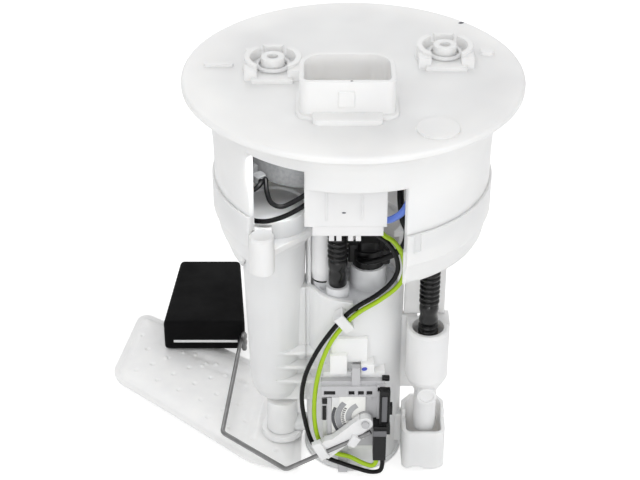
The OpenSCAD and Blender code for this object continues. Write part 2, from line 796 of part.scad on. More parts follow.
module jet_tube() {
    low = scoop_z + 19;
    spigot_z = jet_cup_z - 5;
    color("white") at(return_c) difference() {
        union() {
            rotate_extrude() polygon([[0, low], [5.2, low], [5.4, jet_cup_z - 7], [9.2, jet_cup_z],
                [10, jet_cup_z + 2], [10, jet_top_z - 1.2], [9, jet_top_z], [0, jet_top_z]]);
            translate([0, 0, spigot_z]) cylinder_y(4.6, -10, 0);
            // Tabs that meet the pump case and the upper case
            translate([3, 3, -134]) cube([7.4, 11.5, jet_top_z - 1 + 134]);
            translate([-9.4, 5, -134]) cube([9, 5, jet_top_z - 1 + 134]);
        }
        translate([0, 0, -128]) cylinder(r = 7.4, h = 20);
        translate([0, 0, -137]) cylinder(r = 4, h = 20);
        translate([0, 0, -142]) cylinder(r = 2.5, h = 10);
        translate([0, 0, low - 1]) cylinder(r = 3.4, h = -140 - low);
        translate([0, 0, spigot_z]) cylinder_y(3.4, -11, -9.2);
    }
}

module jet_nozzle() {
    color("silver") at(return_c) difference() {
        rotate_extrude() polygon([[0, -141], [1.4, -141], [2.2, -137], [4, -136], [4, -130], [0, -130]]);
        translate([0, 0, -142]) cylinder(r = 0.6, h = 8);
        translate([0, 0, -135]) cylinder(r = 3, h = 8);
    }
}

module scoop_cup() {
    w = 20.5;
    d = 21;
    color("whitesmoke") at([return_c[0] - 0.4, return_c[1]]) difference() {
        union() {
            translate([0, 0, scoop_z]) slab(w, d, 4, scoop_front_z - scoop_z);
            translate([-w / 2, d / 2 - 8, scoop_z]) cube([w, 8, scoop_back_z - scoop_z]);
        }
        translate([0, 0, scoop_z + 3.5]) slab(w - 3.6, d - 3.6, 2.6, 60);
        // Wavy lower edge
        translate([-3.4, 0, scoop_z - 4.5]) cylinder_y(6, -20, 20);
        translate([8.4, 0, scoop_z - 5.4]) cylinder_y(6, -20, 20);
        // Sloping shoulders of the rear wall
        for (s = [-1, 1]) translate([s * w / 2, 0, scoop_back_z]) rotate([0, 45, 0])
            translate([-3, -20, -3]) cube([6, 40, 6]);
    }
}

// Suction side

module suction_elbow() {
    seam_x = pump_c[0] - pump_case_r - 0.1;
    color("whitesmoke") difference() {
        union() {
            at(strainer_c, -190) cylinder(r = strainer_neck_r, h = 21);
            translate([strainer_c[0], strainer_c[1], gallery_z]) rotate([0, 90, 0])
                cylinder(r = gallery_r, h = seam_x - strainer_c[0]);
            at(strainer_c, -192.8) cylinder(r = strainer_neck_r - 1, h = 3.2);
        }
        at(strainer_c, -199) cylinder(r = strainer_neck_r - 2.4, h = 26);
        translate([strainer_c[0], strainer_c[1], gallery_z]) rotate([0, 90, 0]) cylinder(r = gallery_r - 1.2, h = 30);
    }
}

function bag_outline(inset) = [[-119 + inset, 39 + 0.2 * inset], [-111 + inset, 86 - 1.2 * inset],
    [-29 - inset, 28 - inset], [-29 - inset, -33 + 1.2 * inset]];

module bag_slice(inset, z, h) {
    for (p = bag_outline(inset)) translate([p[0], p[1], z]) cylinder(r = 6, h = h, $fn = 24);
}

module strainer_bag() {
    mid = -194;
    color("white") difference() {
        hull() {
            bag_slice(0, mid - 0.4, 0.8);
            bag_slice(5, mid - bag_t / 2, bag_t);
        }
        at(strainer_c, -193) cylinder(r = strainer_neck_r - 0.7, h = 8);
    }
}

module strainer_frame() {
    color("whitesmoke") difference() {
        at(strainer_c, -194 + bag_t / 2) ring(strainer_neck_r + 2.6, strainer_neck_r + 0.05, 3);
        translate([strainer_c[0], strainer_c[1], gallery_z]) rotate([0, 90, 0]) cylinder(r = gallery_r + gap, h = 20);
    }
}

// Level sender

module sender_frame() {
    color("lightgray") difference() {
        union() {
            translate([-14, frame_y, -163]) cube([30, sender_t, 23]);
            translate([-11, frame_y, -179]) cube([27, sender_t, 17]);
            // Hook, raised head, board rails and plug bed
            translate([0.4, frame_y - 0.8, -142]) cube([4, 3.7, 10]);
            translate([-14, frame_y - 1.6, -148]) cube([30, 1.6 + join, 6]);
            translate([-11, board_y - 0.2, -177]) cube([2, 1.6, 28]);
            translate([8, board_y - 0.2, -150]) cube([2, 1.6, 5]);
            translate([12.4, frame_y - 1.6, -161.3]) cube([3.6, 1.6 + join, 20.3]);
            // Grey foot
            translate([-5.6, pad_y - 1.8, -197]) cube([4.6, 1.8, 18.4]);
            translate([-5.6, pad_y - 1.8, -197]) cube([4.6, 5.4, 4]);
            translate([pivot_x, 0, pivot_z]) cylinder_y(pivot_r, rotor_y - rotor_t - 1.2, frame_y + join);
            translate([pivot_x, 0, pivot_z]) cylinder_y(pivot_r + 1.4, rotor_y + 0.3, frame_y + join);
        }
        translate([-12.6, frame_y - 2, -147]) cube([5.4, 1.5, 2.4]);
        for (x = [-1, 3.4, 7.4]) translate([x, frame_y - 2, -147]) cube([2.8, 1.5, 2.4]);
        translate([-13.4, frame_y - 1, -153]) cube([2.6, 2, 3.2]);
        translate([12.6, frame_y - 3, -145]) cube([2.6, 4, 2.6]);
        at(pump_c, -199) cylinder(r = pump_case_r + 1.05, h = 3.6);
        at(pump_c, -199) cylinder(r = pump_case_r + 0.05, h = 15);
    }
}

module sender_board() {
    color("white") difference() {
        translate([-8.9, board_y, -174]) cube([16, board_t, 26]);
        translate([pivot_x, 0, pivot_z]) cylinder_y(pivot_r + 1.7, board_y - 1, board_y + 3);
        translate([pivot_x - 0.2, board_y - 1, -180]) cube([10, 4, 20]);
    }
}

// Band of a ring between two radii and two angles, standing on the board
module track(r0, r1, a0, a1) {
    n = 10;
    translate([pivot_x, board_y, pivot_z]) rotate([90, 0, 0]) linear_extrude(track_t)
        polygon(concat(arc([0, 0], r1, a0, a1, n), arc([0, 0], r0, a1, a0, n)));
}

module resistor_tracks() {
    color("dimgray") {
        track(14.6, 15.6, 150, 214);
        track(11.6, 14.3, 140, 214);
        track(6.5, 9.3, 120, 195);
        for (i = [0:8]) track(10, 11.3, 138 + 8 * i, 141 + 8 * i);
    }
}

module sender_rotor() {
    hub_r = 3.5;
    tip = [-11.5, -176];
    color("white") difference() {
        union() {
            translate([pivot_x, 0, pivot_z]) cylinder_y(hub_r, rotor_y - rotor_t, rotor_y);
            translate([0, rotor_y, 0]) rotate([90, 0, 0]) linear_extrude(rotor_t)
                polygon([[pivot_x + 1, pivot_z - hub_r], [pivot_x - 3, pivot_z + 3], [tip[0] + 3, tip[1] + 6.4],
                    [tip[0] - 1, tip[1] + 5], [tip[0] - 3.4, tip[1] - 1], [tip[0] + 1, tip[1] - 6]]);
            translate([tip[0] - 2.2, rotor_y - rotor_t - 2.2, tip[1] - 5]) rotate([0, -28, 0]) cube([4.4, 3, 10]);
            translate([-1.6, rotor_y - rotor_t - 2, pivot_z - 11]) rotate([0, 30, 0]) cube([4, 3, 6]);
            // Rounded head that holds the wire's clip
            translate([tip[0] + 0.4, 0, tip[1]]) cylinder_y(4.4, rotor_y - rotor_t, rotor_y);
        }
        translate([pivot_x, 0, pivot_z]) cylinder_y(pivot_r + run, rotor_y - 20, rotor_y + 3);
        arm_groove();
    }
}

// Points of the float arm: straight part in the clip, two bends, and the end in the float
arm_end = [float_x - 1.6, float_y + 5, arm_z + 4];
function arm_points() = [[9.6, arm_y, -165.4], [-28.8, arm_y, -187], [-61, -21, arm_z], arm_end];

module rod(a, b, r) {
    v = b - a;
    translate(a) rotate([0, acos(v[2] / norm(v)), atan2(v[1], v[0])]) cylinder(r = r, h = norm(v));
}

module arm_groove() {
    p = arm_points();
    u = unit(p[0] - p[1]);
    rod(p[1], p[0] + 3 * u, arm_d / 2);
}

// Points of a wire that goes round each corner on an arc of radius r
function rounded(p, r, k) = concat([p[0]], [for (i = [1:len(p) - 2])
    let (u = unit(p[i] - p[i - 1]), v = unit(p[i + 1] - p[i]), n = unit(v - (v * u) * u), angle = acos(u * v),
        c = p[i] - r * tan(angle / 2) * u + r * n)
    for (j = [0:k]) let (a = angle * j / k) c + r * (sin(a) * u - cos(a) * n)], [p[len(p) - 1]]);

module float_arm() {
    bend_r = 3.5;
    color("dimgray") sweep(rounded(arm_points(), bend_r, 5), arm_d / 2, 12);
}

module wiper() {
    reach = board_y - rotor_y - track_t - gap;
    color("goldenrod") for (r = [8, 13]) translate([pivot_x, 0, pivot_z]) rotate([0, -36, 0])
        translate([-r - 0.8, rotor_y, -0.5]) cube([1.6, reach, 1]);
}

module float_block() {
    slot_z = float_top_z - float_h + 5;
    edge = 3;
    taper = (float_w - float_far_w) / 2;
    color("black") difference() {
        intersection() {
            translate([float_x, float_y, float_top_z]) rotate([90, 0, -90]) linear_extrude(float_w)
                polygon(concat([[0, -float_h]], arc([-edge, -edge], edge, 0, 90, 4),
                    arc([-float_l + edge, -edge], edge, 90, 180, 4),
                    arc([-float_l + edge, -float_h + edge], edge, 180, 270, 4)));
            // Plan of the float, narrower at its far end
            translate([float_x, float_y, float_top_z - float_h - 1]) linear_extrude(float_h + 2)
                polygon([[0, -1], [-float_w, -1], [taper - float_w, float_l + 1], [-taper, float_l + 1]]);
        }
        translate([float_x - float_w + 5, float_y - 1, slot_z]) cube([float_w - 9, 2.6, 1.8]);
        rod(arm_points()[2], arm_end, arm_d / 2 + run);
    }
}

module float_retainer() {
    slot_z = float_top_z - float_h + 5;
    color("white") translate([float_x - float_w + 5.2, float_y + 0.2, slot_z + 0.1]) cube([float_w - 9.4, 1.4, 1.6]);
}

module sender_plug() {
    color("black") difference() {
        union() {
            translate([plug_x, frame_y - 7.5, plug_z]) cube([6.1, 7.3, 20.4]);
            translate([plug_x + 2.7, frame_y - 6, plug_z + 20]) cube([4.9, 4.2, 20]);
            translate([plug_x + 6, frame_y - 5, plug_z + 14]) cube([2, 3.4, 5]);
            translate([plug_x + 7, frame_y - 5, plug_z + 26]) cube([1.8, 3.4, 5]);
        }
        translate([plug_x + 3.5, frame_y - 9, plug_z + 21.4]) cube([3.3, 4.4, 16.6]);
    }
}

module plug_latch() {
    color("gray") {
        translate([plug_x + 3.8, frame_y - 5.4, plug_z + 21.8]) cube([2.6, 0.8, 15]);
        translate([plug_x - 0.2, frame_y - 8.3, plug_z + 15.4]) cube([6.4, 0.8, 3]);
    }
}

// Leads

sender_route_green = [[11, -40, -48.2], [11, -40, -51], [13.4, -39, -55.6], [18, -36, -61], [22, -34, -69],
    [23.4, -33, -79], [20.5, -32.7, -87], [12.7, -32.7, -94.5], [3.8, -32.7, -101], [-2.5, -32.7, -107.5],
    [-8.9, -33, -117], [-13.4, -33, -129], [-16.2, -33, -143], [-17.2, -33, -158], [-16.2, -33, -171],
    [-13.2, -33.9, -179.2], [-7, -34.6, -183.2], [0, -35, -185.2], [6, -36.4, -187.8], [10.4, -38, -188.2],
    [12.4, -38, -186], [12.6, -38, -182.2]];
sender_route_black = [[7.6, -40, -48.2], [7.6, -40, -51], [10.2, -38, -56], [15.2, -34.6, -62.4],
    [19.2, -32.6, -70.4], [20.4, -32, -78.6], [17.6, -32.7, -85], [11, -32.7, -92], [2, -32.7, -98.6],
    [-4.3, -32.7, -105.2], [-11.4, -33, -115.4], [-17, -33, -126], [-21.4, -33, -138], [-23, -33, -151],
    [-21.4, -33, -165], [-18, -33.2, -178], [-11.6, -33.8, -186.2], [-4, -34.6, -189.6], [4, -35.6, -192.2],
    [10, -36.8, -193.2], [14.4, -38, -191.4], [15.6, -38, -187.4], [15.4, -38, -182.2]];
blue_route = [[14.4, -44, -45], [17, -44.6, -43.6], [21, -45.4, -39.6], [24, -45.4, -32], [25, -43.6, -22],
    [24.6, -41, -12], [24, -39.6, -5], [24, -39.6, 0.3]];
pump_route = [[20.2, -35.2, -31.2], [20.2, -35.2, -34], [20.6, -34.8, -42], [21.8, -34, -51], [23.9, -31, -58.5],
    [23.4, -28, -67], [20.6, -25.5, -73], [16.7, -23.5, -77], [9.6, -20, -82], [4.8, -15.8, -84.4], [3.4, -13.5, -84.6]];
earth_route_a = [[-40.5, -27.3, -35.2], [-39.9, -28.1, -35.3], [-41.4, -30, -36.6], [-45.4, -30.6, -39.4],
    [12.4 - neck_r, -28, -43.4], [10.6 - neck_r, -25.4, -48], [12.4 - neck_r, -26.4, -51.6], [-45, -30, -53.2], [-38, -32, -53],
    [-30, -32, -50.4], [-23, -31.6, -46.4], [-18, -31.4, -42.6], [-16, -32.4, -41.4], [-16, -33.9, -41.4]];
earth_route_b = [[-38.6, -25.8, -35.2], [-38, -26.6, -35.3], [-37.6, -29.4, -39], [-35.6, -31.8, -43.6],
    [-31, -32, -45.4], [-24.6, -31.6, -42.4], [-18, -31.4, -38], [-13.4, -31.8, -37], [-12.6, -33.9, -37]];

module sender_wire_black() {
    color("black") sweep(smooth(sender_route_black, 1), wire_d / 2, 8);
}

module sender_wire_green() {
    color("yellowgreen") sweep(smooth(sender_route_green, 1), wire_d / 2, 8);
}

module blue_lead() {
    color("cornflowerblue") sweep(smooth(blue_route, 1), lead_d / 2, 8);
}

module pump_lead() {
    color("black") sweep(smooth(pump_route, 1), lead_d / 2, 8);
}

module earth_leads() {
    color("black") {
        sweep(smooth(earth_route_a, 1), 1.1, 8);
        sweep(smooth(earth_route_b, 1), 1.1, 8);
    }
}

flange();
terminal_pins();
port_seals();
upper_case();
harness_plug();
terminal_block();
outlet_manifold();
earth_boot();
supply_hose();
return_hose();
pump_case();
filter_case();
filter_cap();
filter_element();
pump_holder();
pressure_regulator();
regulator_ring();
regulator_valve();
regulator_spring();
pump_plug();
pump_can();
outlet_bell();
brushes();
magnets();
armature();
impeller();
outlet_plate();
inlet_cover();
check_valve();
check_spring();
pump_cushion();
jet_tube();
jet_nozzle();
scoop_cup();
suction_elbow();
strainer_frame();
strainer_bag();
sender_frame();
sender_board();
resistor_tracks();
sender_rotor();
wiper();
float_arm();
float_block();
float_retainer();
sender_plug();
plug_latch();
wire_clip();
sender_wire_black();
sender_wire_green();
blue_lead();
pump_lead();
earth_leads();
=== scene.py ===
"""Looks of an in-tank fuel pump module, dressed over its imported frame."""

import logging
import math
from collections.abc import Iterable
from dataclasses import dataclass, replace
from enum import Enum

import bmesh
import bpy
from mathutils import Matrix, Vector


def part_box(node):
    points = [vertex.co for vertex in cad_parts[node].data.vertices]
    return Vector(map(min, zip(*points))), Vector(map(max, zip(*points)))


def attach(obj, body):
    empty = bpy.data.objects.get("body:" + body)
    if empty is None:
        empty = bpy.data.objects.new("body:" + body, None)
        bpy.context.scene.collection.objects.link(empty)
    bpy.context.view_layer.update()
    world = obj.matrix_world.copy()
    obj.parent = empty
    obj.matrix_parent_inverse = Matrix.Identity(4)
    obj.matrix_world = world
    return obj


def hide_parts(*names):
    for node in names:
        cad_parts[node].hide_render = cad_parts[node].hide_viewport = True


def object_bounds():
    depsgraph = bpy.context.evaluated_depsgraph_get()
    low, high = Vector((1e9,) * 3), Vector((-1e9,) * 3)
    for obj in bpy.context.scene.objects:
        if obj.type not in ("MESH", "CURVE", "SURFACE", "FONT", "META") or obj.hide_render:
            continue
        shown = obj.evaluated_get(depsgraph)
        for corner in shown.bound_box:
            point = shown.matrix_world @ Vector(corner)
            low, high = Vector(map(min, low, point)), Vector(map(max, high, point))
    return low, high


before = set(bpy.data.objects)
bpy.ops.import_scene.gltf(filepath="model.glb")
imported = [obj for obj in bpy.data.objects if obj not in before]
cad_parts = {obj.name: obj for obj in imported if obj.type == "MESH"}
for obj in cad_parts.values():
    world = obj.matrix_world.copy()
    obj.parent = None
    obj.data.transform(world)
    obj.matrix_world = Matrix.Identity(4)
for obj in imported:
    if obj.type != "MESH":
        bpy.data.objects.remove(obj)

CAD_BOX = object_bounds()
LOG = logging.getLogger("fuel_pump")
MM = 0.001
ROOT = "module"
LEVER = "float_lever"
Point = tuple[float, float, float]
Pair = tuple[float, float]
Socket = bpy.types.NodeSocket


def metres(points: Iterable[Point]) -> list[Vector]:
    """Returns points written in millimetres as vectors in metres."""
    return [Vector(p) * MM for p in points]


def linear(value: float) -> float:
    """Returns the linear light of one display channel from 0 to 255."""
    share = value / 255
    return share / 12.92 if share <= 0.04045 else ((share + 0.055) / 1.055) ** 2.4


def colour(red: float, green: float, blue: float) -> tuple[float, float, float, float]:
    """Returns a shader colour from display channels of 0 to 255."""
    return linear(red), linear(green), linear(blue), 1.0


class Surface(Enum):
    """Kinds of fine texture on a surface."""

    GRAINED = "grained"
    DRAWN = "drawn"
    WOVEN = "woven"


class Tree:
    """Places nodes in one node tree and links them."""

    def __init__(self, tree: bpy.types.NodeTree) -> None:
        """Keeps the tree that the nodes go into."""
        self.tree = tree

    def add(self, kind: str, inputs: dict | None = None, **settings: object) -> bpy.types.Node:
        """Adds a node.

        Args:
            kind: The node's type without its ShaderNode prefix.
            inputs: Values or output sockets by input name or index.
            **settings: Properties of the node.

        Returns:
            The new node.
        """
        made = self.tree.nodes.new("ShaderNode" + kind)
        for name, value in settings.items():
            setattr(made, name, value)
        for name, value in (inputs or {}).items():
            if isinstance(value, Socket):
                self.tree.links.new(value, made.inputs[name])
            else:
                made.inputs[name].default_value = value
        return made

    def math(self, operation: str, first: object, second: object = 0.0) -> Socket:
        """Adds a Math node and returns its output."""
        return self.add("Math", {0: first, 1: second}, operation=operation).outputs[0]

    def spread(self, value: object, low: float, high: float, start: float = 0.0, end: float = 1.0) -> Socket:
        """Adds a Map Range node from low..high to start..end and returns its output."""
        names = {"Value": value, "From Min": low, "From Max": high, "To Min": start, "To Max": end}
        return self.add("MapRange", names, clamp=True).outputs[0]

    def mix(self, share: object, first: object, second: object) -> Socket:
        """Adds a colour Mix node and returns its colour."""
        return self.add("Mix", {0: share, 6: first, 7: second}, data_type="RGBA").outputs[2]

    def noise(self, place: Socket, scale: object, detail: float, roughness: float = 0.5) -> Socket:
        """Adds a Noise Texture node and returns its value."""
        inputs = {"Vector": place, "Scale": scale, "Detail": detail, "Roughness": roughness}
        return self.add("TexNoise", inputs).outputs[0]


class Group:
    """A shader node group with named inputs and outputs, built once."""

    VALUES = ("Amount", "Size", "Radius", "Roughness", "Height")
    COLOURS = ("Colour", "Shade", "Rubbed")

    def __init__(self, name: str, inputs: str, outputs: str) -> None:
        """Makes the empty group.

        Args:
            name: Name of the group.
            inputs: Labels of its inputs.
            outputs: Labels of its outputs.
        """
        self.group = bpy.data.node_groups.new(name, "ShaderNodeTree")
        for direction, labels in (("INPUT", inputs), ("OUTPUT", outputs)):
            for label in labels.split():
                kind = "Float" if label in self.VALUES else "Color" if label in self.COLOURS else "Vector"
                self.group.interface.new_socket(name=label, in_out=direction, socket_type=f"NodeSocket{kind}")
        self.tree = Tree(self.group)
        self.start = self.group.nodes.new("NodeGroupInput").outputs
        self.end = self.group.nodes.new("NodeGroupOutput").inputs

    def out(self, label: str, socket: Socket) -> None:
        """Links a socket to a named output of the group."""
        self.group.links.new(socket, self.end[label])

    def use(self, tree: Tree, inputs: dict) -> bpy.types.Node:
        """Places the group in a material and returns its node."""
        return tree.add("Group", inputs, node_tree=self.group)


class Effects:
    """The shader effects that several finishes share."""

    COARSE = 0.17
    RUB_SCALE = 260.0
    FILM_SCALE = 55.0
    WEAVE_TURN = math.radians(-28)

    def __init__(self) -> None:
        """Builds each group once."""
        self.grain = self.make_grain()
        self.mottle = self.make_mottle()
        self.edge = self.make_edge()
        self.film = self.make_film()
        self.weave = self.make_weave()
        self.drawn = self.make_drawn()

    def make_grain(self) -> Group:
        """Builds fine moulded grain: two noises, the coarse one weaker.

        Returns:
            The new group.
        """
        made = Group("moulded_grain", "Place Size", "Height")
        tree, place = made.tree, made.start["Place"]
        scale = tree.math("DIVIDE", 1.0, made.start["Size"])
        fine = tree.noise(place, scale, 3.0, 0.6)
        coarse = tree.noise(place, tree.math("MULTIPLY", scale, self.COARSE), 1.0)
        parts = [tree.math("MULTIPLY", noise, share) for noise, share in ((fine, 0.7), (coarse, 0.3))]
        made.out("Height", tree.math("ADD", *parts))
        return made

    def make_mottle(self) -> Group:
        """Builds the cloudy change of colour through a moulding.

        Returns:
            The new group.
        """
        made = Group("colour_mottle", "Place Colour Shade Amount Size", "Colour")
        tree = made.tree
        cloud = tree.noise(made.start["Place"], tree.math("DIVIDE", 1.0, made.start["Size"]), 2.0)
        share = tree.math("MULTIPLY", tree.spread(cloud, 0.3, 0.72), made.start["Amount"])
        made.out("Colour", tree.mix(share, made.start["Colour"], made.start["Shade"]))
        return made

    def make_edge(self) -> Group:
        """Builds soft rounded edges, and the paler rub that handling leaves on them in patches.

        Returns:
            The new group.
        """
        made = Group("edge_wear", "Place Colour Rubbed Amount Radius", "Colour Normal")
        tree = made.tree
        soft = tree.add("Bevel", {"Radius": made.start["Radius"]}, samples=4).outputs[0]
        flat = tree.add("NewGeometry").outputs["Normal"]
        dot = tree.add("VectorMath", {0: soft, 1: flat}, operation="DOT_PRODUCT").outputs["Value"]
        patches = tree.spread(tree.noise(made.start["Place"], self.RUB_SCALE, 2.0), 0.35, 0.6)
        worn = tree.math("MULTIPLY", tree.spread(dot, 0.995, 0.8), patches)
        share = tree.math("MULTIPLY", worn, made.start["Amount"])
        made.out("Colour", tree.mix(share, made.start["Colour"], made.start["Rubbed"]))
        made.out("Normal", soft)
        return made

    def make_film(self) -> Group:
        """Builds the thin film of handling that dulls a surface in patches, most where it faces up.

        Returns:
            The new group.
        """
        made = Group("surface_film", "Place Roughness Amount", "Roughness")
        tree = made.tree
        patches = tree.spread(tree.noise(made.start["Place"], self.FILM_SCALE, 4.0, 0.65), 0.4, 0.68)
        up = tree.add("SeparateXYZ", {0: tree.add("NewGeometry").outputs["Normal"]}).outputs[2]
        mask = tree.math("MULTIPLY", patches, tree.spread(up, -0.6, 0.9, 0.4, 1.0))
        lift = tree.math("MULTIPLY", mask, made.start["Amount"])
        made.out("Roughness", tree.math("ADD", made.start["Roughness"], lift))
        return made

    def make_weave(self) -> Group:
        """Builds a fine plain weave: threads one way over threads the other way.

        Returns:
            The new group.
        """
        made = Group("net_weave", "Place Size", "Height")
        tree = made.tree
        turn = tree.add("Mapping", {"Vector": made.start["Place"], "Rotation": (0.0, 0.0, self.WEAVE_TURN)})
        place = tree.add("SeparateXYZ", {0: turn.outputs[0]})
        pace = tree.math("DIVIDE", math.tau, made.start["Size"])
        waves = [tree.math("SINE", tree.math("MULTIPLY", place.outputs[k], pace)) for k in (0, 1)]
        made.out("Height", tree.math("MAXIMUM", *(tree.math("ABSOLUTE", wave) for wave in waves)))
        return made

    def make_drawn(self) -> Group:
        """Builds the fine streaks of drawn or rolled metal.

        Returns:
            The new group.
        """
        made = Group("drawn_metal", "Place Stretch", "Height")
        tree = made.tree
        sides = {0: made.start["Place"], 1: made.start["Stretch"]}
        drawn = tree.add("VectorMath", sides, operation="MULTIPLY")
        made.out("Height", tree.noise(drawn.outputs[0], 1.0, 4.0, 0.7))
        return made


COAT_ROUGHNESS = 0.12
GLOW_TINT = (1.0, 0.95, 0.9)
GLOW_REACH = 0.006
SHEEN = 0.25


@dataclass(frozen=True)
class Finish:
    """One finish of the object, from its colour to its grain.

    Attributes:
        name: Name of the finish.
        base: Colour of most of the surface, in display channels.
        shade: Second colour, in clouds.
        rubbed: Colour of handled edges.
        surface: Kind of fine texture.
        roughness: Roughness where it is clean.
        grain: Size of the grain or of the weave's threads, in metres.
        relief: Height of the fine texture in metres.
        mottle: Share of the second colour.
        cloud: Size of the clouds of the second colour, in metres.
        wear: Share of the edge colour.
        edge: Radius of the softened edges in metres.
        coat: Weight of the clear coat.
        specular: Level of the reflections at the surface.
        glow: Weight of light that goes into the plastic.
        stretch: Scale of a drawn metal's streaks along each axis.
        film: Roughness that the handling film adds where it is thickest.
    """

    name: str
    base: tuple[int, int, int]
    shade: tuple[int, int, int]
    rubbed: tuple[int, int, int] = (250, 250, 250)
    surface: Surface = Surface.GRAINED
    roughness: float = 0.45
    grain: float = 0.0008
    relief: float = 0.00002
    mottle: float = 0.5
    cloud: float = 0.02
    wear: float = 0.5
    edge: float = 0.0004
    coat: float = 0.0
    specular: float = 0.5
    glow: float = 0.0
    stretch: Point = (900.0, 900.0, 60.0)
    film: float = 0.14

    def build(self, effects: Effects) -> bpy.types.Material:
        """Makes the material.

        Args:
            effects: The shared shader groups.

        Returns:
            The new material.
        """
        made = bpy.data.materials.new(self.name)
        made.use_nodes = True
        tree = Tree(made.node_tree)
        shader = made.node_tree.nodes["Principled BSDF"]
        place = tree.add("TexCoord").outputs["Object"]
        clouds = effects.mottle.use(tree, {
            "Place": place, "Colour": colour(*self.base), "Shade": colour(*self.shade),
            "Amount": self.mottle, "Size": self.cloud,
        })
        edges = effects.edge.use(tree, {
            "Place": place, "Colour": clouds.outputs["Colour"], "Rubbed": colour(*self.rubbed),
            "Amount": self.wear, "Radius": self.edge,
        })
        film = effects.film.use(tree, {"Place": place, "Roughness": self.roughness, "Amount": self.film})
        bump = tree.add("Bump", {
            "Strength": 1.0, "Distance": self.relief, "Height": self.texture(effects, tree, place),
            "Normal": edges.outputs["Normal"],
        })
        links = made.node_tree.links
        links.new(edges.outputs["Colour"], shader.inputs["Base Color"])
        links.new(film.outputs["Roughness"], shader.inputs["Roughness"])
        links.new(bump.outputs[0], shader.inputs["Normal"])
        for name, value in self.constants().items():
            shader.inputs[name].default_value = value
        return made

    def texture(self, effects: Effects, tree: Tree, place: Socket) -> Socket:
        """Adds the fine texture that suits the surface.

        Args:
            effects: The shared shader groups.
            tree: The material's nodes.
            place: Place on the object.

        Returns:
            The height of the texture.
        """
        if self.surface is Surface.WOVEN:
            return effects.weave.use(tree, {"Place": place, "Size": self.grain}).outputs["Height"]
        if self.surface is Surface.DRAWN:
            return effects.drawn.use(tree, {"Place": place, "Stretch": self.stretch}).outputs["Height"]
        return effects.grain.use(tree, {"Place": place, "Size": self.grain}).outputs["Height"]

    def constants(self) -> dict[str, float | Point]:
        """Lists the shader's values that are the same all over the surface.

        Returns:
            The values by the name of their input.
        """
        return {
            "Metallic": 1.0 if self.surface is Surface.DRAWN else 0.0,
            "Specular IOR Level": self.specular,
            "Coat Weight": self.coat,
            "Coat Roughness": COAT_ROUGHNESS,
            "Subsurface Weight": self.glow,
            "Subsurface Radius": GLOW_TINT,
            "Subsurface Scale": GLOW_REACH,
            "Sheen Weight": SHEEN if self.surface is Surface.WOVEN else 0.0,
        }


NATURAL = Finish("natural_moulding", (240, 240, 239), (222, 222, 223), roughness=0.42, grain=0.0011,
                 relief=0.000022, mottle=0.7, cloud=0.045, edge=0.0006, glow=0.65)
WHITE = Finish("white_moulding", (234, 234, 234), (226, 226, 227), roughness=0.36, relief=0.000015, glow=0.35)
PALE_GREY = Finish("pale_grey_moulding", (190, 190, 192), (176, 176, 179), (228, 228, 229), roughness=0.42,
                   grain=0.0007)
CLEAR_GREY = Finish("glossy_grey_moulding", (224, 225, 227), (200, 201, 204), (238, 238, 239), roughness=0.16,
                    grain=0.002, relief=0.00001, mottle=0.8, cloud=0.012, edge=0.0006, coat=0.4)
DARK_GREY = Finish("grey_conductive_moulding", (98, 99, 100), (80, 81, 82), (160, 160, 160), roughness=0.5,
                   grain=0.0006, relief=0.00006, mottle=1.0, cloud=0.0016)
LATCH_GREY = Finish("grey_latch_moulding", (104, 104, 107), (88, 88, 91), (140, 140, 142), roughness=0.4,
                    grain=0.0006)
BLACK = Finish("black_moulding", (17, 17, 18), (11, 11, 12), (58, 58, 62), roughness=0.34, grain=0.0007,
               wear=0.3, specular=0.28)
RUBBER = Finish("black_rubber", (11, 11, 12), (6, 6, 7), (40, 40, 42), roughness=0.2, grain=0.0009, wear=0.25,
                coat=0.12, specular=0.3)
FOAM = Finish("black_float_foam", (10, 10, 11), (6, 6, 7), (40, 40, 42), roughness=0.62, grain=0.0007,
              relief=0.00005, mottle=0.8, cloud=0.003, wear=0.3, edge=0.0014, specular=0.08)
STEEL = Finish("drawn_steel", (140, 140, 140), (104, 104, 105), (196, 196, 196), Surface.DRAWN,
               roughness=0.34, cloud=0.004)
SPRING = Finish("spring_wire", (165, 166, 168), (120, 121, 123), (210, 210, 212), Surface.DRAWN,
                roughness=0.3, relief=0.00001, cloud=0.003)
BRASS = replace(SPRING, name="plated_brass", base=(208, 172, 96), shade=(176, 138, 70),
                rubbed=(235, 205, 140))
WINDING = Finish("wound_core", (176, 108, 66), (120, 72, 44), (214, 150, 104), Surface.DRAWN, roughness=0.4,
                 relief=0.00004, cloud=0.003, stretch=(60.0, 60.0, 1400.0))
MAGNET = Finish("pressed_ferrite", (60, 61, 63), (44, 45, 47), (96, 96, 98), roughness=0.6, grain=0.0005,
                relief=0.00004, cloud=0.003)
CARBON = Finish("pressed_carbon", (44, 44, 45), (30, 30, 31), (80, 80, 82), roughness=0.55, grain=0.0004,
                relief=0.00003, cloud=0.002)
PAPER = Finish("filter_paper", (222, 214, 184), (204, 194, 160), (235, 228, 204), Surface.WOVEN,
               roughness=0.85, grain=0.0006, relief=0.00005, cloud=0.005)
NET = Finish("strainer_net", (249, 249, 248), (240, 240, 241), (252, 252, 252), Surface.WOVEN, roughness=0.5,
             grain=0.0009, relief=0.00005, mottle=0.6, cloud=0.009, edge=0.0002, glow=0.2)
CERAMIC = Finish("ceramic_board", (240, 240, 237), (228, 228, 225), (248, 248, 246), roughness=0.24,
                 grain=0.0006, relief=0.000008)
DARK_TRACK = Finish("dark_resistor_ink", (78, 79, 82), (60, 61, 64), (110, 110, 112), roughness=0.4,
                    grain=0.0003, relief=0.00001, cloud=0.001)
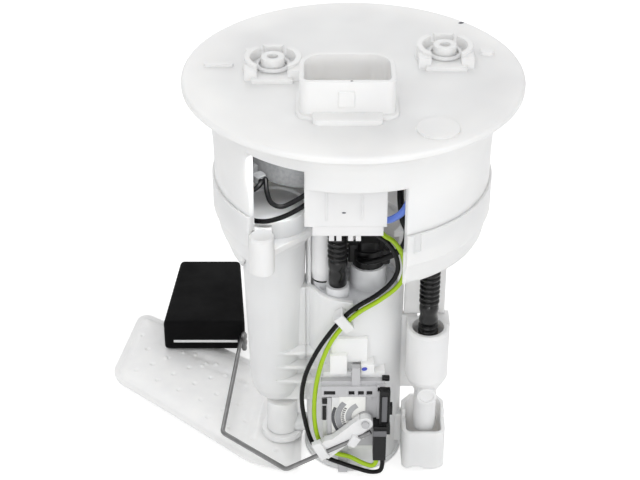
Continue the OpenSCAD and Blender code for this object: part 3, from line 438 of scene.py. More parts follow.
WIDE_TRACK = replace(DARK_TRACK, name="grey_resistor_ink", base=(154, 155, 158), shade=(138, 139, 142),
                     rubbed=(176, 176, 178), roughness=0.36)
INNER_TRACK = replace(DARK_TRACK, name="light_resistor_ink", base=(172, 173, 175), shade=(158, 159, 161),
                      rubbed=(192, 192, 194), roughness=0.34)
BLACK_LEAD = Finish("black_insulation", (9, 9, 10), (5, 5, 6), (26, 26, 28), roughness=0.26, grain=0.0011,
                    relief=0.00001, wear=0.1, specular=0.18)
GREEN_LEAD = Finish("lime_insulation", (162, 196, 20), (146, 182, 12), (198, 220, 84), roughness=0.34,
                    grain=0.0011, relief=0.00001, wear=0.1, coat=0.1, specular=0.35)
BLUE_LEAD = replace(GREEN_LEAD, name="blue_insulation", base=(112, 142, 228), shade=(98, 128, 220),
                    rubbed=(156, 178, 240))
BLUE_INK = Finish("blue_marking_ink", (66, 80, 190), (40, 52, 150), (90, 100, 190), roughness=0.5,
                  grain=0.0004, relief=0.000004, cloud=0.0008)
DARK_INK = replace(BLUE_INK, name="dark_marking_ink", base=(58, 60, 74), shade=(36, 38, 50),
                   rubbed=(90, 92, 104))

DRESSED = {
    NATURAL: "flange upper_case pump_case filter_case scoop_cup suction_elbow",
    WHITE: "port_seals harness_plug filter_cap pressure_regulator jet_tube strainer_frame sender_rotor"
           " float_retainer wire_clip",
    PALE_GREY: "outlet_plate inlet_cover jet_nozzle sender_frame",
    CLEAR_GREY: "pump_holder",
    DARK_GREY: "outlet_manifold earth_boot",
    LATCH_GREY: "plug_latch",
    BLACK: "terminal_block pump_plug outlet_bell sender_plug",
    RUBBER: "supply_hose return_hose regulator_ring check_valve pump_cushion",
    FOAM: "float_block",
    STEEL: "regulator_valve float_arm",
    SPRING: "regulator_spring check_spring pump_can",
    BRASS: "terminal_pins wiper",
    WINDING: "armature",
    MAGNET: "magnets",
    CARBON: "brushes impeller",
    PAPER: "filter_element",
    NET: "strainer_bag",
    CERAMIC: "sender_board",
    WIDE_TRACK: "resistor_tracks",
    BLACK_LEAD: "sender_wire_black pump_lead earth_leads",
    GREEN_LEAD: "sender_wire_green",
    BLUE_LEAD: "blue_lead",
}
NODE_FINISHES = {node: finish for finish, nodes in DRESSED.items() for node in nodes.split()}


class Paintbox:
    """Builds each finish once and hands out its material."""

    def __init__(self) -> None:
        """Builds the shared effects."""
        self.effects = Effects()
        self.made: dict[str, bpy.types.Material] = {}

    def get(self, finish: Finish) -> bpy.types.Material:
        """Hands out the material of a finish, made on its first use.

        Args:
            finish: The finish.

        Returns:
            Its material.
        """
        if finish.name not in self.made:
            self.made[finish.name] = finish.build(self.effects)
        return self.made[finish.name]

    def dress_frame(self) -> None:
        """Gives every carried-over node its finish."""
        for name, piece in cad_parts.items():
            piece.data.materials.clear()
            piece.data.materials.append(self.get(NODE_FINISHES[name]))
            LOG.info("dressed %s as %s", name, NODE_FINISHES[name].name)


class Piece:
    """One new mesh piece, from its empty bmesh to its place on a body."""

    def __init__(self, name: str, paint: Paintbox) -> None:
        """Starts the piece with an empty mesh.

        Args:
            name: Name of the piece.
            paint: The finishes.
        """
        self.name = name
        self.paint = paint
        self.shape = bmesh.new()

    def close(
        self, finish: Finish, body: str, slot: str, replaced: tuple[str, ...] = (), sharp: float = 35.0
    ) -> bpy.types.Object:
        """Turns the bmesh into a finished object.

        Args:
            finish: The piece's finish.
            body: The body that the piece rides on.
            slot: The record's material slot; not used.
            replaced: Nodes that the piece stands for.
            sharp: Angle in degrees from which an edge stays sharp.

        Returns:
            The finished object.
        """
        bmesh.ops.recalc_face_normals(self.shape, faces=self.shape.faces)
        mesh = bpy.data.meshes.new(self.name)
        self.shape.to_mesh(mesh)
        self.shape.free()
        mesh.shade_smooth()
        mesh.set_sharp_from_angle(angle=math.radians(sharp))
        made = bpy.data.objects.new(self.name, mesh)
        return settle(made, self.paint.get(finish), body, replaced)


def settle(
    made: bpy.types.Object, material: bpy.types.Material, body: str, replaced: tuple[str, ...] = ()
) -> bpy.types.Object:
    """Links an object, dresses it and sets it on its body.

    Args:
        made: The new object, at the origin.
        material: Its material.
        body: The body that it rides on.
        replaced: Nodes that it stands for.

    Returns:
        The same object.
    """
    bpy.context.scene.collection.objects.link(made)
    made.data.materials.append(material)
    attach(made, body)
    if replaced:
        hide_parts(*replaced)
    LOG.info("built %s on %s", made.name, body)
    return made


def smoothed(points: list[Vector], steps: int = 6) -> list[Vector]:
    """Returns points on a smooth curve through the given ones.

    Args:
        points: Points that the curve passes through.
        steps: Points for each stretch between two of them.

    Returns:
        The points along the curve.
    """
    ends = [2 * points[0] - points[1], *points, 2 * points[-1] - points[-2]]
    out = []
    for a, b, c, d in zip(ends, ends[1:], ends[2:], ends[3:]):
        for k in range(steps):
            t = k / steps
            square, cube = (2 * a - 5 * b + 4 * c - d) * t * t, (3 * b - a - 3 * c + d) * t ** 3
            out.append(0.5 * (2 * b + (c - a) * t + square + cube))
    return [*out, points[-1]]


def tube(name: str, points: list[Vector], radius: float) -> bpy.types.Object:
    """Makes a round tube with closed ends along points.

    Args:
        name: Name of the piece.
        points: Points of its centre line.
        radius: Its radius in metres.

    Returns:
        A curve object at the origin.
    """
    line = bpy.data.curves.new(name, "CURVE")
    line.dimensions = "3D"
    line.bevel_depth = radius
    line.bevel_resolution = 5
    line.use_fill_caps = True
    spline = line.splines.new("POLY")
    spline.points.add(len(points) - 1)
    for point, place in zip(spline.points, points):
        point.co = (*place, 1.0)
    spline.use_smooth = True
    return bpy.data.objects.new(name, line)


def spun(piece: Piece, rings: list[Pair], centre: Pair, steps: int) -> Piece:
    """Spins a profile round an upright axis.

    Args:
        piece: The piece whose mesh takes the shape.
        rings: Radius and level of each profile point, in millimetres.
        centre: Place of the axis in plan, in millimetres.
        steps: Number of steps round the axis.

    Returns:
        The same piece.
    """
    shape = piece.shape
    middle = Vector((*centre, 0.0)) * MM
    line = [shape.verts.new(middle + Vector((radius, 0.0, level)) * MM) for radius, level in rings]
    edges = [shape.edges.new(pair) for pair in zip(line, line[1:])]
    bmesh.ops.spin(shape, geom=[*line, *edges], cent=middle, axis=(0, 0, 1), angle=math.tau, steps=steps,
                   use_merge=True)
    bmesh.ops.remove_doubles(shape, verts=shape.verts, dist=1e-6)
    return piece


def rounded_block(
    piece: Piece, low: Vector, high: Vector, edge: float, steps: int, far: float = 1.0
) -> Piece:
    """Makes a block with rounded edges, narrower at its far end where that is asked.

    Args:
        piece: The piece whose mesh takes the shape.
        low: The block's lowest corner in metres.
        high: The block's highest corner in metres.
        edge: Radius of its edges in metres.
        steps: Steps round each edge.
        far: Width of the far end as a share of the near end's.

    Returns:
        The same piece.
    """
    shape, middle = piece.shape, (low + high) / 2
    sized = Matrix.Translation(middle) @ Matrix.Diagonal((*(high - low), 1.0))
    bmesh.ops.create_cube(shape, size=1.0, matrix=sized)
    ends = [v for v in shape.verts if v.co.y > middle.y]
    bmesh.ops.scale(shape, verts=ends, vec=(far, 1.0, 1.0), space=Matrix.Translation(-middle))
    bmesh.ops.bevel(shape, geom=list(shape.edges), offset=edge, segments=steps, profile=0.5, affect="EDGES",
                    material=-1)
    return piece


@dataclass
class Hoses:
    """The two corrugated hoses, with their plain cuffs and bulges.

    Sizes are in millimetres. A profile is a list of radii and levels, an axis is a place in plan, and
    ridges run between two levels.
    """

    paint: Paintbox
    crest: float = 4.7
    shoulder: float = 4.35
    root: float = 3.7
    pitch: float = 2.6
    faces: int = 48
    supply_axis: Pair = (-6.3, -18.4)
    supply_cuff: tuple[Pair, ...] = ((0.0, -95.4), (3.9, -95.4), (4.2, -94.8), (4.2, -88.2), (4.0, -86.9),
                                     (4.3, -85.9), (4.5, -84.4), (4.5, -82.8), (4.3, -81.4))
    supply_ridges: Pair = (-81.0, -42.0)
    return_axis: Pair = (36.0, -22.0)
    cup_ridges: Pair = (-127.8, -114.8)
    bulges: tuple[Pair, ...] = ((3.9, -114.4), (4.4, -113.6), (4.5, -112.6), (4.3, -111.2), (3.9, -109.6),
                                (4.3, -108.0), (4.5, -106.6), (4.5, -105.4), (4.2, -104.2))
    upper_ridges: Pair = (-103.4, -64.4)
    bend: tuple[Point, ...] = ((36, -22, -66), (36, -22, -60), (36.5, -17, -48), (39, -4, -39), (41, 10, -30),
                               (41, 16, -20), (41, 16, -14), (41, 16, -12.3))
    bend_radius: float = 4.0

    def ridges(self, levels: Pair) -> list[Pair]:
        """Lays ridges from one level up to another.

        Args:
            levels: The lower and the upper level.

        Returns:
            Radius and level of each point of their profile.
        """
        low, high = levels
        ridge = ((self.root, 0.1), (self.shoulder, 0.55), (self.crest, 0.95), (self.crest, 1.45),
                 (self.shoulder, 1.85), (self.root, 2.3))
        count = round((high - low) / self.pitch)
        return [(radius, low + k * self.pitch + rise) for k in range(count) for radius, rise in ridge]

    def wall(self, name: str, rings: list[Pair], axis: Pair) -> None:
        """Builds the upright stretch of one hose from its profile."""
        piece = spun(Piece(f"{name}_wall", self.paint), rings, axis, self.faces)
        piece.close(RUBBER, ROOT, "black_rubber", (name,), sharp=50.0)

    def build(self) -> None:
        """Builds both hoses, and the return hose's bend."""
        supply = [*self.supply_cuff, *self.ridges(self.supply_ridges), (0.0, self.supply_ridges[1])]
        self.wall("supply_hose", supply, self.supply_axis)
        back = [(0.0, self.cup_ridges[0]), *self.ridges(self.cup_ridges), *self.bulges,
                *self.ridges(self.upper_ridges), (0.0, self.upper_ridges[1])]
        self.wall("return_hose", back, self.return_axis)
        made = tube("return_hose_bend", smoothed(metres(self.bend)), self.bend_radius * MM)
        settle(made, self.paint.get(RUBBER), ROOT, ("return_hose",))


@dataclass
class SenderBoard:
    """The printed tracks on the sender's board and the dark fittings round it, in millimetres and degrees."""

    paint: Paintbox
    pivot: Point = (7.0, -35.0, -160.5)
    ink: float = 0.12
    comb: Pair = (10.0, 11.3)
    comb_start: float = 150.0
    comb_pitch: float = 6.5
    comb_tooth: float = 3.0
    comb_teeth: int = 9
    slot_depth: Pair = (-34.95, -34.52)

    def band(self, shape: bmesh.types.BMesh, radii: Pair, angles: Pair) -> None:
        """Spins one band of ink round the pivot.

        Args:
            shape: The mesh that takes the band.
            radii: Its inner and outer radius in millimetres.
            angles: Its first and last angle in degrees, from +X towards +Z.
        """
        centre = Vector(self.pivot) * MM
        first = math.radians(angles[0])
        outward = Vector((math.cos(first), 0.0, math.sin(first)))
        corners = [(radii[0], 0.0), (radii[1], 0.0), (radii[1], -self.ink), (radii[0], -self.ink)]
        verts = [shape.verts.new(centre + (outward * r + Vector((0.0, y, 0.0))) * MM) for r, y in corners]
        face = shape.faces.new(verts)
        turn = math.radians(angles[1] - angles[0])
        bmesh.ops.spin(shape, geom=[face, *face.edges, *verts], cent=centre, axis=(0, -1, 0), angle=turn,
                       steps=20)

    def tracks(self) -> None:
        """Prints the three plain tracks and the comb."""
        plain = (
            ("outer_track", (14.5, 16.0), (158, 214), DARK_TRACK),
            ("wide_track", (11.6, 14.3), (140, 214), WIDE_TRACK),
            ("inner_track", (6.5, 9.3), (120, 195), INNER_TRACK),
        )
        for name, radii, angles, finish in plain:
            track = Piece(name, self.paint)
            self.band(track.shape, radii, angles)
            track.close(finish, ROOT, "resistor", ("resistor_tracks",))
        comb = Piece("comb_track", self.paint)
        for k in range(self.comb_teeth):
            start = self.comb_start + self.comb_pitch * k
            self.band(comb.shape, self.comb, (start, start + self.comb_tooth))
        comb.close(DARK_TRACK, ROOT, "resistor", ("resistor_tracks",))

    def block(self, name: str, low: Point, high: Point, finish: Finish, slot: str) -> None:
        """Adds a small block with rounded edges.

        Args:
            name: Name of the piece.
            low: Its lowest corner in millimetres.
            high: Its highest corner in millimetres.
            finish: Its finish.
            slot: The record's material slot.
        """
        a, b = Vector(low) * MM, Vector(high) * MM
        rounded_block(Piece(name, self.paint), a, b, min(b - a) * 0.22, 2).close(finish, ROOT, slot)

    def fittings(self) -> None:
        """Adds black plates of painted shade in the frame's slots, the dark bar and key, and the board's
        white tab.
        """
        upper, side, top = (-146.9, -144.7), (-152.9, -149.9), (-144.9, -142.5)
        slots = (((-12.5, -7.3), upper), ((-0.9, 1.7), upper), ((3.5, 6.1), upper), ((7.5, 10.1), upper),
                 ((-13.3, -10.9), side), ((12.7, 15.1), top))
        # Black plates near the bottom of each slot's recess are painted shade, standing for the dark inside
        # of the recess.
        for k, (across, up) in enumerate(slots):
            low, high = ((across[end], self.slot_depth[end], up[end]) for end in (0, 1))
            self.block(f"slot_painted_shade_{k}", low, high, BLACK, "black_plastic")
        self.block("frame_bar", (-13.3, -34.7, -162.8), (-11.5, -34.02, -154.6), BLACK, "black_plastic")
        self.block("frame_key", (14.6, -33.6, -140.5), (18.2, -31.05, -138.3), BLACK, "black_plastic")
        self.block("board_tab", (-8.8, -35.7, -153.6), (-5.4, -35.02, -148.4), WHITE, "white_plastic")

    def build(self) -> None:
        """Builds the tracks and the fittings."""
        self.tracks()
        self.fittings()


@dataclass
class InkMarks:
    """The small ink marks on the mouldings, in millimetres."""

    paint: Paintbox
    proud: float = 0.04

    def mark(
        self, name: str, place: Point, facing: Point, size: Pair, finish: Finish, turn: float = 0.0
    ) -> None:
        """Puts one flat mark on a surface.

        Args:
            name: Name of the piece.
            place: Its middle in millimetres.
            facing: The direction that the surface faces.
            size: Its width and height in millimetres.
            finish: Its ink.
            turn: Its turn on the surface in degrees.
        """
        piece = Piece(name, self.paint)
        away = Vector(facing).normalized()
        upright = away.to_track_quat("Z", "Y").to_matrix().to_4x4()
        where = Matrix.Translation((Vector(place) + away * self.proud) * MM)
        turned = where @ upright @ Matrix.Rotation(math.radians(turn), 4, "Z")
        shaped = turned @ Matrix.Diagonal((size[0] / 2, size[1] / 2, 1.0, 1.0))
        bmesh.ops.create_circle(piece.shape, cap_ends=True, segments=20, radius=MM, matrix=shaped)
        piece.close(finish, ROOT, "resistor")

    def build(self) -> None:
        """Puts every mark in its place."""
        up, front = (0, 0, 1), (0, -1, 0)
        self.mark("mark_flange", (51.0, 51.0, 3.5), up, (2.6, 1.8), DARK_INK, 20)
        self.mark("mark_well", (-1.4, -40.5, 20.0), up, (1.2, 0.8), DARK_INK)
        self.mark("mark_plug", (-4.3, -52.0, -36.2), front, (1.8, 0.7), DARK_INK)
        self.mark("mark_lug", (6.3, -33.6, -133.1), front, (2.7, 2.1), BLUE_INK, 20)


@dataclass
class Lead:
    """One insulated lead inside the module.

    Attributes:
        name: Name of the piece.
        finish: Its insulation.
        slot: The record's material slot; not used.
        stands_for: The node that it stands for.
        diameter: Its diameter in millimetres.
        route: Points of its centre line in millimetres.
    """

    name: str
    finish: Finish
    slot: str
    stands_for: str
    diameter: float
    route: list[Point]

    def build(self, paint: Paintbox) -> None:
        """Builds the lead as a smooth tube."""
        made = tube(self.name, smoothed(metres(self.route)), self.diameter * MM / 2)
        settle(made, paint.get(self.finish), ROOT, (self.stands_for,))


THIN, THICK = 2.2, 3.0
LEADS = (
    Lead("green_wire", GREEN_LEAD, "wire_green", "sender_wire_green", THIN, [
        (11, -40, -48.2), (11, -40, -51), (13.4, -39, -55.6), (18, -36, -61), (22, -34, -69),
        (23.4, -33, -79), (20.5, -32.7, -87), (12.7, -32.7, -94.5), (3.8, -32.7, -101), (-2.5, -32.7, -107.5),
        (-8.9, -33, -117), (-13.4, -33, -129), (-16.2, -33, -143), (-17.2, -33, -158), (-16.2, -33, -171),
        (-13.2, -33.9, -179.2), (-7, -34.6, -183.2), (0, -35, -185.2), (6, -36.4, -187.8),
        (10.4, -38, -188.2), (12.4, -38, -186), (12.6, -38, -182.2),
    ]),
    Lead("black_wire", BLACK_LEAD, "wire_black", "sender_wire_black", THIN, [
        (7.6, -40, -48.2), (7.6, -40, -51), (10.2, -38, -56), (15.2, -34.6, -62.4), (19.2, -32.6, -70.4),
        (20.4, -32, -78.6), (17.6, -32.7, -85), (11, -32.7, -92), (2, -32.7, -98.6), (-4.3, -32.7, -105.2),
        (-11.4, -33, -115.4), (-17, -33, -126), (-21.4, -33, -138), (-23, -33, -151), (-21.4, -33, -165),
        (-18, -33.2, -178), (-11.6, -33.8, -186.2), (-4, -34.6, -189.6), (4, -35.6, -192.2),
        (10, -36.8, -193.2), (14.4, -38, -191.4), (15.6, -38, -187.4), (15.4, -38, -182.2),
    ]),
    Lead("blue_wire", BLUE_LEAD, "wire_blue", "blue_lead", THICK, [
        (14.4, -44, -45), (17, -44.6, -43.6), (21, -45.4, -39.6), (24, -45.4, -32), (25, -43.6, -22),
        (24.6, -41, -12), (24, -39.6, -5), (24, -39.6, 0.3),
    ]),
    Lead("pump_wire", BLACK_LEAD, "wire_black", "pump_lead", THICK, [
        (20.2, -35.2, -31.2), (20.2, -35.2, -34), (20.6, -34.8, -42), (21.8, -34, -51), (23.9, -31, -58.5),
        (23.4, -28, -67), (20.6, -25.5, -73), (16.7, -23.5, -77), (9.6, -20, -82), (4.8, -15.8, -84.4),
        (3.4, -13.5, -84.6),
    ]),
    Lead("earth_wire_long", BLACK_LEAD, "wire_black", "earth_leads", THIN, [
        (-40.5, -27.3, -35.2), (-39.9, -28.1, -35.3), (-41.4, -30, -36.6), (-45.4, -30.6, -39.4),
        (-49.6, -28, -43.4), (-51.4, -25.4, -48), (-49.6, -26.4, -51.6), (-45, -30, -53.2), (-38, -32, -53),
        (-30, -32, -50.4), (-23, -31.6, -46.4), (-18, -31.4, -42.6), (-16, -32.4, -41.4), (-16, -33.9, -41.4),
    ]),
    Lead("earth_wire_short", BLACK_LEAD, "wire_black", "earth_leads", THIN, [
        (-38.6, -25.8, -35.2), (-38, -26.6, -35.3), (-37.6, -29.4, -39), (-35.6, -31.8, -43.6),
        (-31, -32, -45.4), (-24.6, -31.6, -42.4), (-18, -31.4, -38), (-13.4, -31.8, -37), (-12.6, -33.9, -37),
    ]),
)


@dataclass
class Harness:
    """The leads inside the module."""

    paint: Paintbox
    leads: tuple[Lead, ...] = LEADS

    def build(self) -> None:
        """Builds every lead."""
        for lead in self.leads:
            lead.build(self.paint)


@dataclass
class FloatLever:
    """The bent steel wire, its hook and the foam float on its end, in millimetres."""

    paint: Paintbox
    wire: float = 2.2
    bend: float = 3.5
    bend_steps: int = 12
    corners: tuple[Point, ...] = ((9.6, -40.4, -165.4), (-30.8, -40.4, -188.6), (-62.4, -18.8, -183.6),
                                  (-55.6, 62, -181))
    hook_axis: Pair = (-54.6, 54.9)
    hook: tuple[Pair, ...] = ((0.0, -188.0), (1.2, -188.0), (1.5, -186.6), (1.2, -185.4), (1.6, -183.8),
                              (1.7, -182.6), (1.3, -181.2), (1.7, -179.6), (1.6, -178.2), (1.1, -177.0),
                              (0.0, -176.8))
    foam_edge: float = 2.3
    far_share: float = 0.77
    strip_edge: float = 0.3
    proud: float = 0.45

    def centre_line(self) -> list[Vector]:
        """Rounds each corner of the wire.

        Returns:
            Its centre line in metres.
        """
        points = metres(self.corners)
        bend = self.bend * MM
        out = [points[0]]
        for before, here, after in zip(points, points[1:], points[2:]):
            u, v = (here - before).normalized(), (after - here).normalized()
            n = (v - v.dot(u) * u).normalized()
            angle = u.angle(v)
            centre = here - bend * math.tan(angle / 2) * u + bend * n
            turns = [angle * k / self.bend_steps for k in range(self.bend_steps + 1)]
            out += [centre + bend * (math.sin(turn) * u - math.cos(turn) * n) for turn in turns]
        return [*out, points[-1]]

    def block(self, name: str, node: str, shift: float, edge: float, steps: int, far: float = 1.0) -> Piece:
        """Makes a rounded block over a node's box.

        Args:
            name: Name of the piece.
            node: The node that it stands for.
            shift: How far it stands out towards the front, in millimetres.
            edge: Radius of its edges in millimetres.
            steps: Steps round each edge.
            far: Width of the far end as a share of the near end's.

        Returns:
            The open piece.
        """
        out = Vector((0.0, shift, 0.0)) * MM
        low, high = (Vector(corner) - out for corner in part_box(node))
        return rounded_block(Piece(name, self.paint), low, high, edge * MM, steps, far)

    def build(self) -> None:
        """Builds the wire, its hook, the float and the strip that holds the wire in it."""
        wire = tube("float_wire", self.centre_line(), self.wire * MM / 2)
        wire.data.bevel_resolution = 8
        settle(wire, self.paint.get(STEEL), LEVER, ("float_arm",))
        hook = spun(Piece("wire_hook", self.paint), self.hook, self.hook_axis, 28)
        hook.close(STEEL, LEVER, "steel")
        foam = self.block("float_foam", "float_block", 0.0, self.foam_edge, 5, self.far_share)
        foam.close(FOAM, LEVER, "float_foam", ("float_block",))
        strip = self.block("float_strip", "float_retainer", self.proud, self.strip_edge, 2)
        strip.close(WHITE, LEVER, "white_plastic", ("float_retainer",))


def smooth_step(value: float) -> float:
    """Returns a smooth step from 0, far below zero, to 1, far above it."""
    return 1 / (1 + math.exp(-value))


def hump(distance: float, width: float) -> float:
    """Returns a smooth hump that is 1 at no distance and fades over a width."""
    return math.exp(-(distance / width) ** 2)


@dataclass
class StrainerBag:
    """The flat net bag with its welded rim, spacer dimples and folds, in millimetres.

    Attributes:
        paint: The finishes.
        mid, half, rim: Level of the bag's middle, and height over it of the face and of the welded rim.
        weld: Width of the welded rim.
        swell, fade: Distances from the weld over which the face and its relief rise.
        sag: How far the slack net lies below its full height.
        face, corner: Length and width of the face, and radius of its corners.
        across, down: Grid cells along and across the bag.
        corners: The face's corners in plan: near left, far left, far right and near right.
        bow, bow_peak, outward: How far the near edge bows out, where along it, and in which direction.
        first_pin, pin_row, pin_column: Place of one pin's mark, and the steps to the next mark and row.
        pin_depth, pin_width: Depth and width of a mark.
        rim_clear, slack_clear: Least distance of a mark from the rim and from the slack's line.
        slack_line: Ends of the line that the slack follows.
        slack_depth, slack_width: Depth and width of its valley.
        specks_at, speck_width: Places and width of the pins that stand up in the slack.
        pleat_reach: Levels along Y that the pleats before the strainer's neck run between.
        pleats_at: Place along X, width and height of each pleat.
    """

    paint: Paintbox
    mid: float = -194.0
    half: float = 3.9
    rim: float = 0.45
    weld: float = 3.4
    swell: float = 3.2
    fade: float = 5.0
    sag: float = 0.45
    face: Pair = (118.0, 60.0)
    corner: float = 9.0
    across: int = 190
    down: int = 96
    corners: tuple[Pair, ...] = ((-124.5, 38), (-114, 98), (-23, 32), (-24, -38))
    bow: float = 8.0
    bow_peak: float = 0.8
    outward: Pair = (-0.61, -0.79)
    first_pin: Pair = (-103.0, 45.7)
    pin_row: Pair = (7.9, 4.9)
    pin_column: Pair = (3.9, -13.3)
    pin_depth: float = 0.85
    pin_width: float = 0.8
    rim_clear: float = 8.0
    slack_clear: float = 7.0
    slack_line: tuple[Pair, ...] = ((-102.5, 76.7), (-47.1, 24.0))
    slack_depth: float = 0.8
    slack_width: float = 4.2
    specks_at: tuple[Pair, ...] = ((-95.9, 50.6), (-87.3, 55.5), (-81, 54.8), (-76.4, 43.9), (-74.6, 46.5),
                                   (-69.2, 45.8), (-63.7, 36.6), (-52.6, 28.7))
    speck_width: float = 0.85
    pleat_reach: Pair = (-14.0, 14.0)
    pleats_at: tuple[Point, ...] = ((-49.5, 1.6, -0.9), (-45.2, 1.3, 1.0), (-41.6, 1.5, -0.8),
                                    (-37.5, 1.5, 0.6), (-33.5, 1.6, -0.5))

    def plan(self, u: float, v: float) -> Pair:
        """Maps the unit square to the face's outline.

        Args:
            u: Share of the way along the bag.
            v: Share of the way across it.

        Returns:
            The place in plan.
        """
        near_left, far_left, far_right, near_right = (Vector(c) for c in self.corners)
        rise, fall = (u / self.bow_peak) ** 1.3, (1 - u) / (1 - self.bow_peak)
        bowed = -math.log(math.exp(-8 * rise) + math.exp(-8 * fall)) / 8
        near = near_left.lerp(near_right, u) + Vector(self.outward) * self.bow * max(0.0, bowed)
        place = near.lerp(far_left.lerp(far_right, u), v)
        return place.x, place.y

    def round_corner(self, u: float, v: float) -> tuple[float, float, float]:
        """Rounds the unit square's corners.

        Args:
            u: Share of the way along the bag.
            v: Share of the way across it.

        Returns:
            The point's new shares of the way, and its distance to the rim.
        """
        length, width = self.face
        x, y = (u - 0.5) * length, (v - 0.5) * width
        inner_x, inner_y = length / 2 - self.corner, width / 2 - self.corner
        dx, dy = max(0.0, abs(x) - inner_x), max(0.0, abs(y) - inner_y)
        if dx > 0 and dy > 0:
            p, q = dx / self.corner, dy / self.corner
            dx, dy = dx * math.sqrt(1 - q * q / 2), dy * math.sqrt(1 - p * p / 2)
            x, y = math.copysign(inner_x + dx, x), math.copysign(inner_y + dy, y)
            edge = self.corner - math.hypot(dx, dy)
        else:
            edge = min(length / 2 - abs(x), width / 2 - abs(y))
        return x / length + 0.5, y / width + 0.5, edge

    def crown(self, u: float, v: float, edge: float) -> float:
        """Shapes the slack crown of the face.

        Args:
            u: Share of the way along the bag.
            v: Share of the way across it.
            edge: Distance to the rim.

        Returns:
            The height of the face over the bag's middle.
        """
        if edge <= self.weld:
            return self.rim
        full = 1 - math.exp(-(edge - self.weld) / self.swell)
        waves = 0.24 * math.sin(11 * u + 4 * v + 1.2) + 0.18 * math.sin(7 * u - 13 * v)
        return self.rim + (self.half - self.rim) * full - full * (self.sag - waves * 0.6)

    def slack(self, x: float, y: float) -> Pair:
        """Measures a point against the slack's line.

        Args:
            x: Place along X in plan.
            y: Place along Y in plan.

        Returns:
            How far it lies along the line, from 0 to 1, and how far beyond it.
        """
        start, end = (Vector(c) for c in self.slack_line)
        line, here = end - start, Vector((x, y)) - start
        return here.dot(line) / line.length_squared, line.cross(here) / line.length

    def valley(self, x: float, y: float) -> float:
        """Shapes the wrinkled valley of the slack.

        Args:
            x: Place along X in plan.
            y: Place along Y in plan.

        Returns:
            Its depth at the point.
        """
        along, beyond = self.slack(x, y)
        ends = smooth_step((along - 0.04) * 26) * smooth_step((1.0 - along) * 22)
        wave = 1 + 0.5 * math.sin(0.55 * x + 0.2 * y) * math.sin(0.25 * x - 0.5 * y + 1)
        return self.slack_depth * ends * wave * hump(beyond - 1.2 * math.sin(9 * along), self.slack_width)

    def pleats(self, x: float, y: float) -> float:
        """Shapes the soft pleats in front of the strainer's neck.

        Args:
            x: Place along X in plan.
            y: Place along Y in plan.

        Returns:
            Their height at the point.
        """
        low, high = self.pleat_reach
        reach = smooth_step((y - low) / 2) * smooth_step((high - y) / 2.5)
        return reach * sum(tall * hump(x - place - 0.12 * y, wide) for place, wide, tall in self.pleats_at)

    def pins(self, x: float, y: float, edge: float) -> float:
        """Marks the spacer pins on the net, clear of the rim and of the slack.

        Args:
            x: Place along X in plan.
            y: Place along Y in plan.
            edge: Distance to the rim.

        Returns:
            The depth of the marks at the point.
        """
        if edge < self.rim_clear or self.slack(x, y)[1] > -self.slack_clear:
            return 0.0
        dx, dy = x - self.first_pin[0], y - self.first_pin[1]
        (ax, ay), (bx, by) = self.pin_row, self.pin_column
        whole = ax * by - ay * bx
        row, column = round((dx * by - dy * bx) / whole), round((ax * dy - ay * dx) / whole)
        distance = math.hypot(dx - row * ax - column * bx, dy - row * ay - column * by)
        return self.pin_depth * hump(distance, self.pin_width)

    def specks(self, x: float, y: float) -> float:
        """Returns the height of the pins that stand up in the slack."""
        return sum(hump(math.hypot(x - px, y - py), self.speck_width) for px, py in self.specks_at)

    def build(self) -> None:
        """Builds the bag's two faces from one grid and joins them at the rim."""
        piece = Piece("strainer_sock", self.paint)
        shape = piece.shape
        bmesh.ops.create_grid(shape, x_segments=self.across, y_segments=self.down, size=0.5)
        for vert in shape.verts:
            u, v, edge = self.round_corner(vert.co.x + 0.5, vert.co.y + 0.5)
            x, y = self.plan(u, v)
            fade = min(1.0, max(0.0, (edge - self.weld) / self.fade))
            relief = self.pleats(x, y) + self.specks(x, y) - self.valley(x, y) - self.pins(x, y, edge)
            vert.co = Vector((x, y, self.mid + self.crown(u, v, edge) + fade * relief)) * MM
        top_rim = [e for e in shape.edges if e.is_boundary]
        under = bmesh.ops.duplicate(shape, geom=[*shape.verts, *shape.edges, *shape.faces])
        for vert in (g for g in under["geom"] if isinstance(g, bmesh.types.BMVert)):
            vert.co.z = 2 * self.mid * MM - vert.co.z
        low_rim = [e for e in shape.edges if e.is_boundary and e not in set(top_rim)]
        bmesh.ops.bridge_loops(shape, edges=[*top_rim, *low_rim])
        made = piece.close(NET, ROOT, "mesh", ("strainer_bag",), sharp=60.0)


@dataclass(frozen=True)
class Lamp:
    """A square soft lamp.

    Attributes:
        name: Name of the lamp.
        place: Its place in metres.
        aim: The point it faces, in metres.
        size: Its side in metres.
        power: Its power in watts.
        spread: Angle of its beam in degrees.
    """

    name: str
    place: Point
    aim: Point
    size: float
    power: float
    spread: float = 180.0

    def build(self) -> None:
        """Adds the lamp to the scene."""
        data = bpy.data.lights.new(self.name, "AREA")
        data.spread = math.radians(self.spread)
        data.size = self.size
        data.energy = self.power
        made = bpy.data.objects.new(self.name, data)
        made.location = self.place
        made.rotation_euler = (Vector(self.aim) - Vector(self.place)).to_track_quat("-Z", "Y").to_euler()
        made.visible_camera = False
        bpy.context.scene.collection.objects.link(made)


LAMPS = (
    Lamp("key", (-0.3, -0.75, 0.85), (0, 0, -0.08), 0.9, 3.0),
    Lamp("fill", (0.8, -0.45, 0.25), (0, 0, -0.1), 0.8, 1.6),
    Lamp("low", (-0.2, -0.95, -0.02), (0, 0, -0.08), 0.5, 1.3),
    Lamp("back", (-0.2, 0.9, 0.6), (0, 0, -0.1), 0.9, 2.8),
    Lamp("front", (0.06, -0.95, 0.16), (0, 0, -0.1), 0.16, 0.9),
    Lamp("neck_left", (-0.031, -0.036, -0.012), (-0.035, -0.010, -0.055), 0.03, 0.015, 75.0),
    Lamp("neck_right", (0.022, -0.030, -0.010), (0.016, -0.012, -0.080), 0.02, 0.014),
)


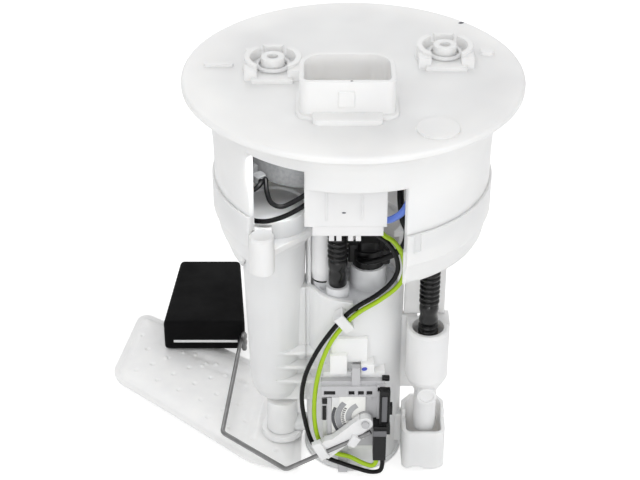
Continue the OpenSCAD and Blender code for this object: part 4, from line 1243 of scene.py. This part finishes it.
@dataclass
class Studio:
    """The pale floor, the soft light and the camera.

    Places are in metres, the lens and the film in millimetres, and the tilt is from straight down.
    """

    floor_gap: float = 0.0005
    floor_size: float = 8.0
    floor_glow: float = 0.52
    world_light: float = 0.64
    eye: Point = (-0.0144, -0.6094, 0.3094)
    tilt: float = 57.2
    lens: float = 87.47
    film: float = 36.0

    def floor(self) -> None:
        """Lays the floor that shows white and keeps the soft shadow."""
        shape = bmesh.new()
        level = Matrix.Translation((0, 0, CAD_BOX[0].z - self.floor_gap))
        bmesh.ops.create_grid(shape, x_segments=1, y_segments=1, size=self.floor_size, matrix=level)
        mesh = bpy.data.meshes.new("floor")
        shape.to_mesh(mesh)
        shape.free()
        made = bpy.data.objects.new("floor", mesh)
        bpy.context.scene.collection.objects.link(made)
        material = bpy.data.materials.new("floor_paper")
        material.use_nodes = True
        tree = Tree(material.node_tree)
        nodes = material.node_tree.nodes
        nodes.remove(nodes["Principled BSDF"])
        paper = tree.add("BsdfDiffuse", {"Color": (0.8, 0.8, 0.8, 1.0)})
        lit = tree.add("Emission", {"Color": (1.0, 1.0, 1.0, 1.0), "Strength": self.floor_glow})
        both = tree.add("AddShader", {0: paper.outputs[0], 1: lit.outputs[0]})
        path = tree.add("LightPath").outputs
        through = tree.math("MAXIMUM", path["Is Glossy Ray"], path["Is Transmission Ray"])
        seen = tree.math("MAXIMUM", path["Is Camera Ray"], through)
        choice = tree.add("MixShader", {0: seen, 1: paper.outputs[0], 2: both.outputs[0]})
        material.node_tree.links.new(choice.outputs[0], nodes["Material Output"].inputs[0])
        mesh.materials.append(material)

    def world(self) -> None:
        """Lights the scene softly from all round, and shows white to the camera."""
        world = bpy.data.worlds.new("light_tent")
        bpy.context.scene.world = world
        world.use_nodes = True
        tree = Tree(world.node_tree)
        nodes = world.node_tree.nodes
        nodes.remove(nodes["Background"])
        path = tree.add("LightPath").outputs
        seen = tree.math("MAXIMUM", path["Is Camera Ray"], path["Is Transmission Ray"])
        strength = tree.spread(seen, 0.0, 1.0, self.world_light, 1.0)
        back = tree.add("Background", {"Color": (1.0, 1.0, 1.0, 1.0), "Strength": strength})
        world.node_tree.links.new(back.outputs[0], nodes["World Output"].inputs[0])

    def camera(self) -> None:
        """Sets the camera at the photograph's viewing angle."""
        data = bpy.data.cameras.new("camera")
        data.lens = self.lens
        data.sensor_width = self.film
        data.clip_start, data.clip_end = 0.05, 50.0
        made = bpy.data.objects.new("camera", data)
        made.location = self.eye
        made.rotation_euler = (math.radians(self.tilt), 0.0, 0.0)
        bpy.context.scene.collection.objects.link(made)
        bpy.context.scene.camera = made

    def build(self) -> None:
        """Builds the whole studio."""
        self.floor()
        self.world()
        for lamp in LAMPS:
            lamp.build()
        self.camera()
        bpy.context.scene.view_settings.view_transform = "Standard"


def main() -> None:
    """Builds the studio, dresses the frame and adds the new pieces."""
    logging.basicConfig(level=logging.INFO, format="%(message)s")
    Studio().build()
    paint = Paintbox()
    paint.dress_frame()
    for assembly in (Harness, Hoses, FloatLever, SenderBoard, InkMarks, StrainerBag):
        assembly(paint).build()


if __name__ == "__main__":
    main()
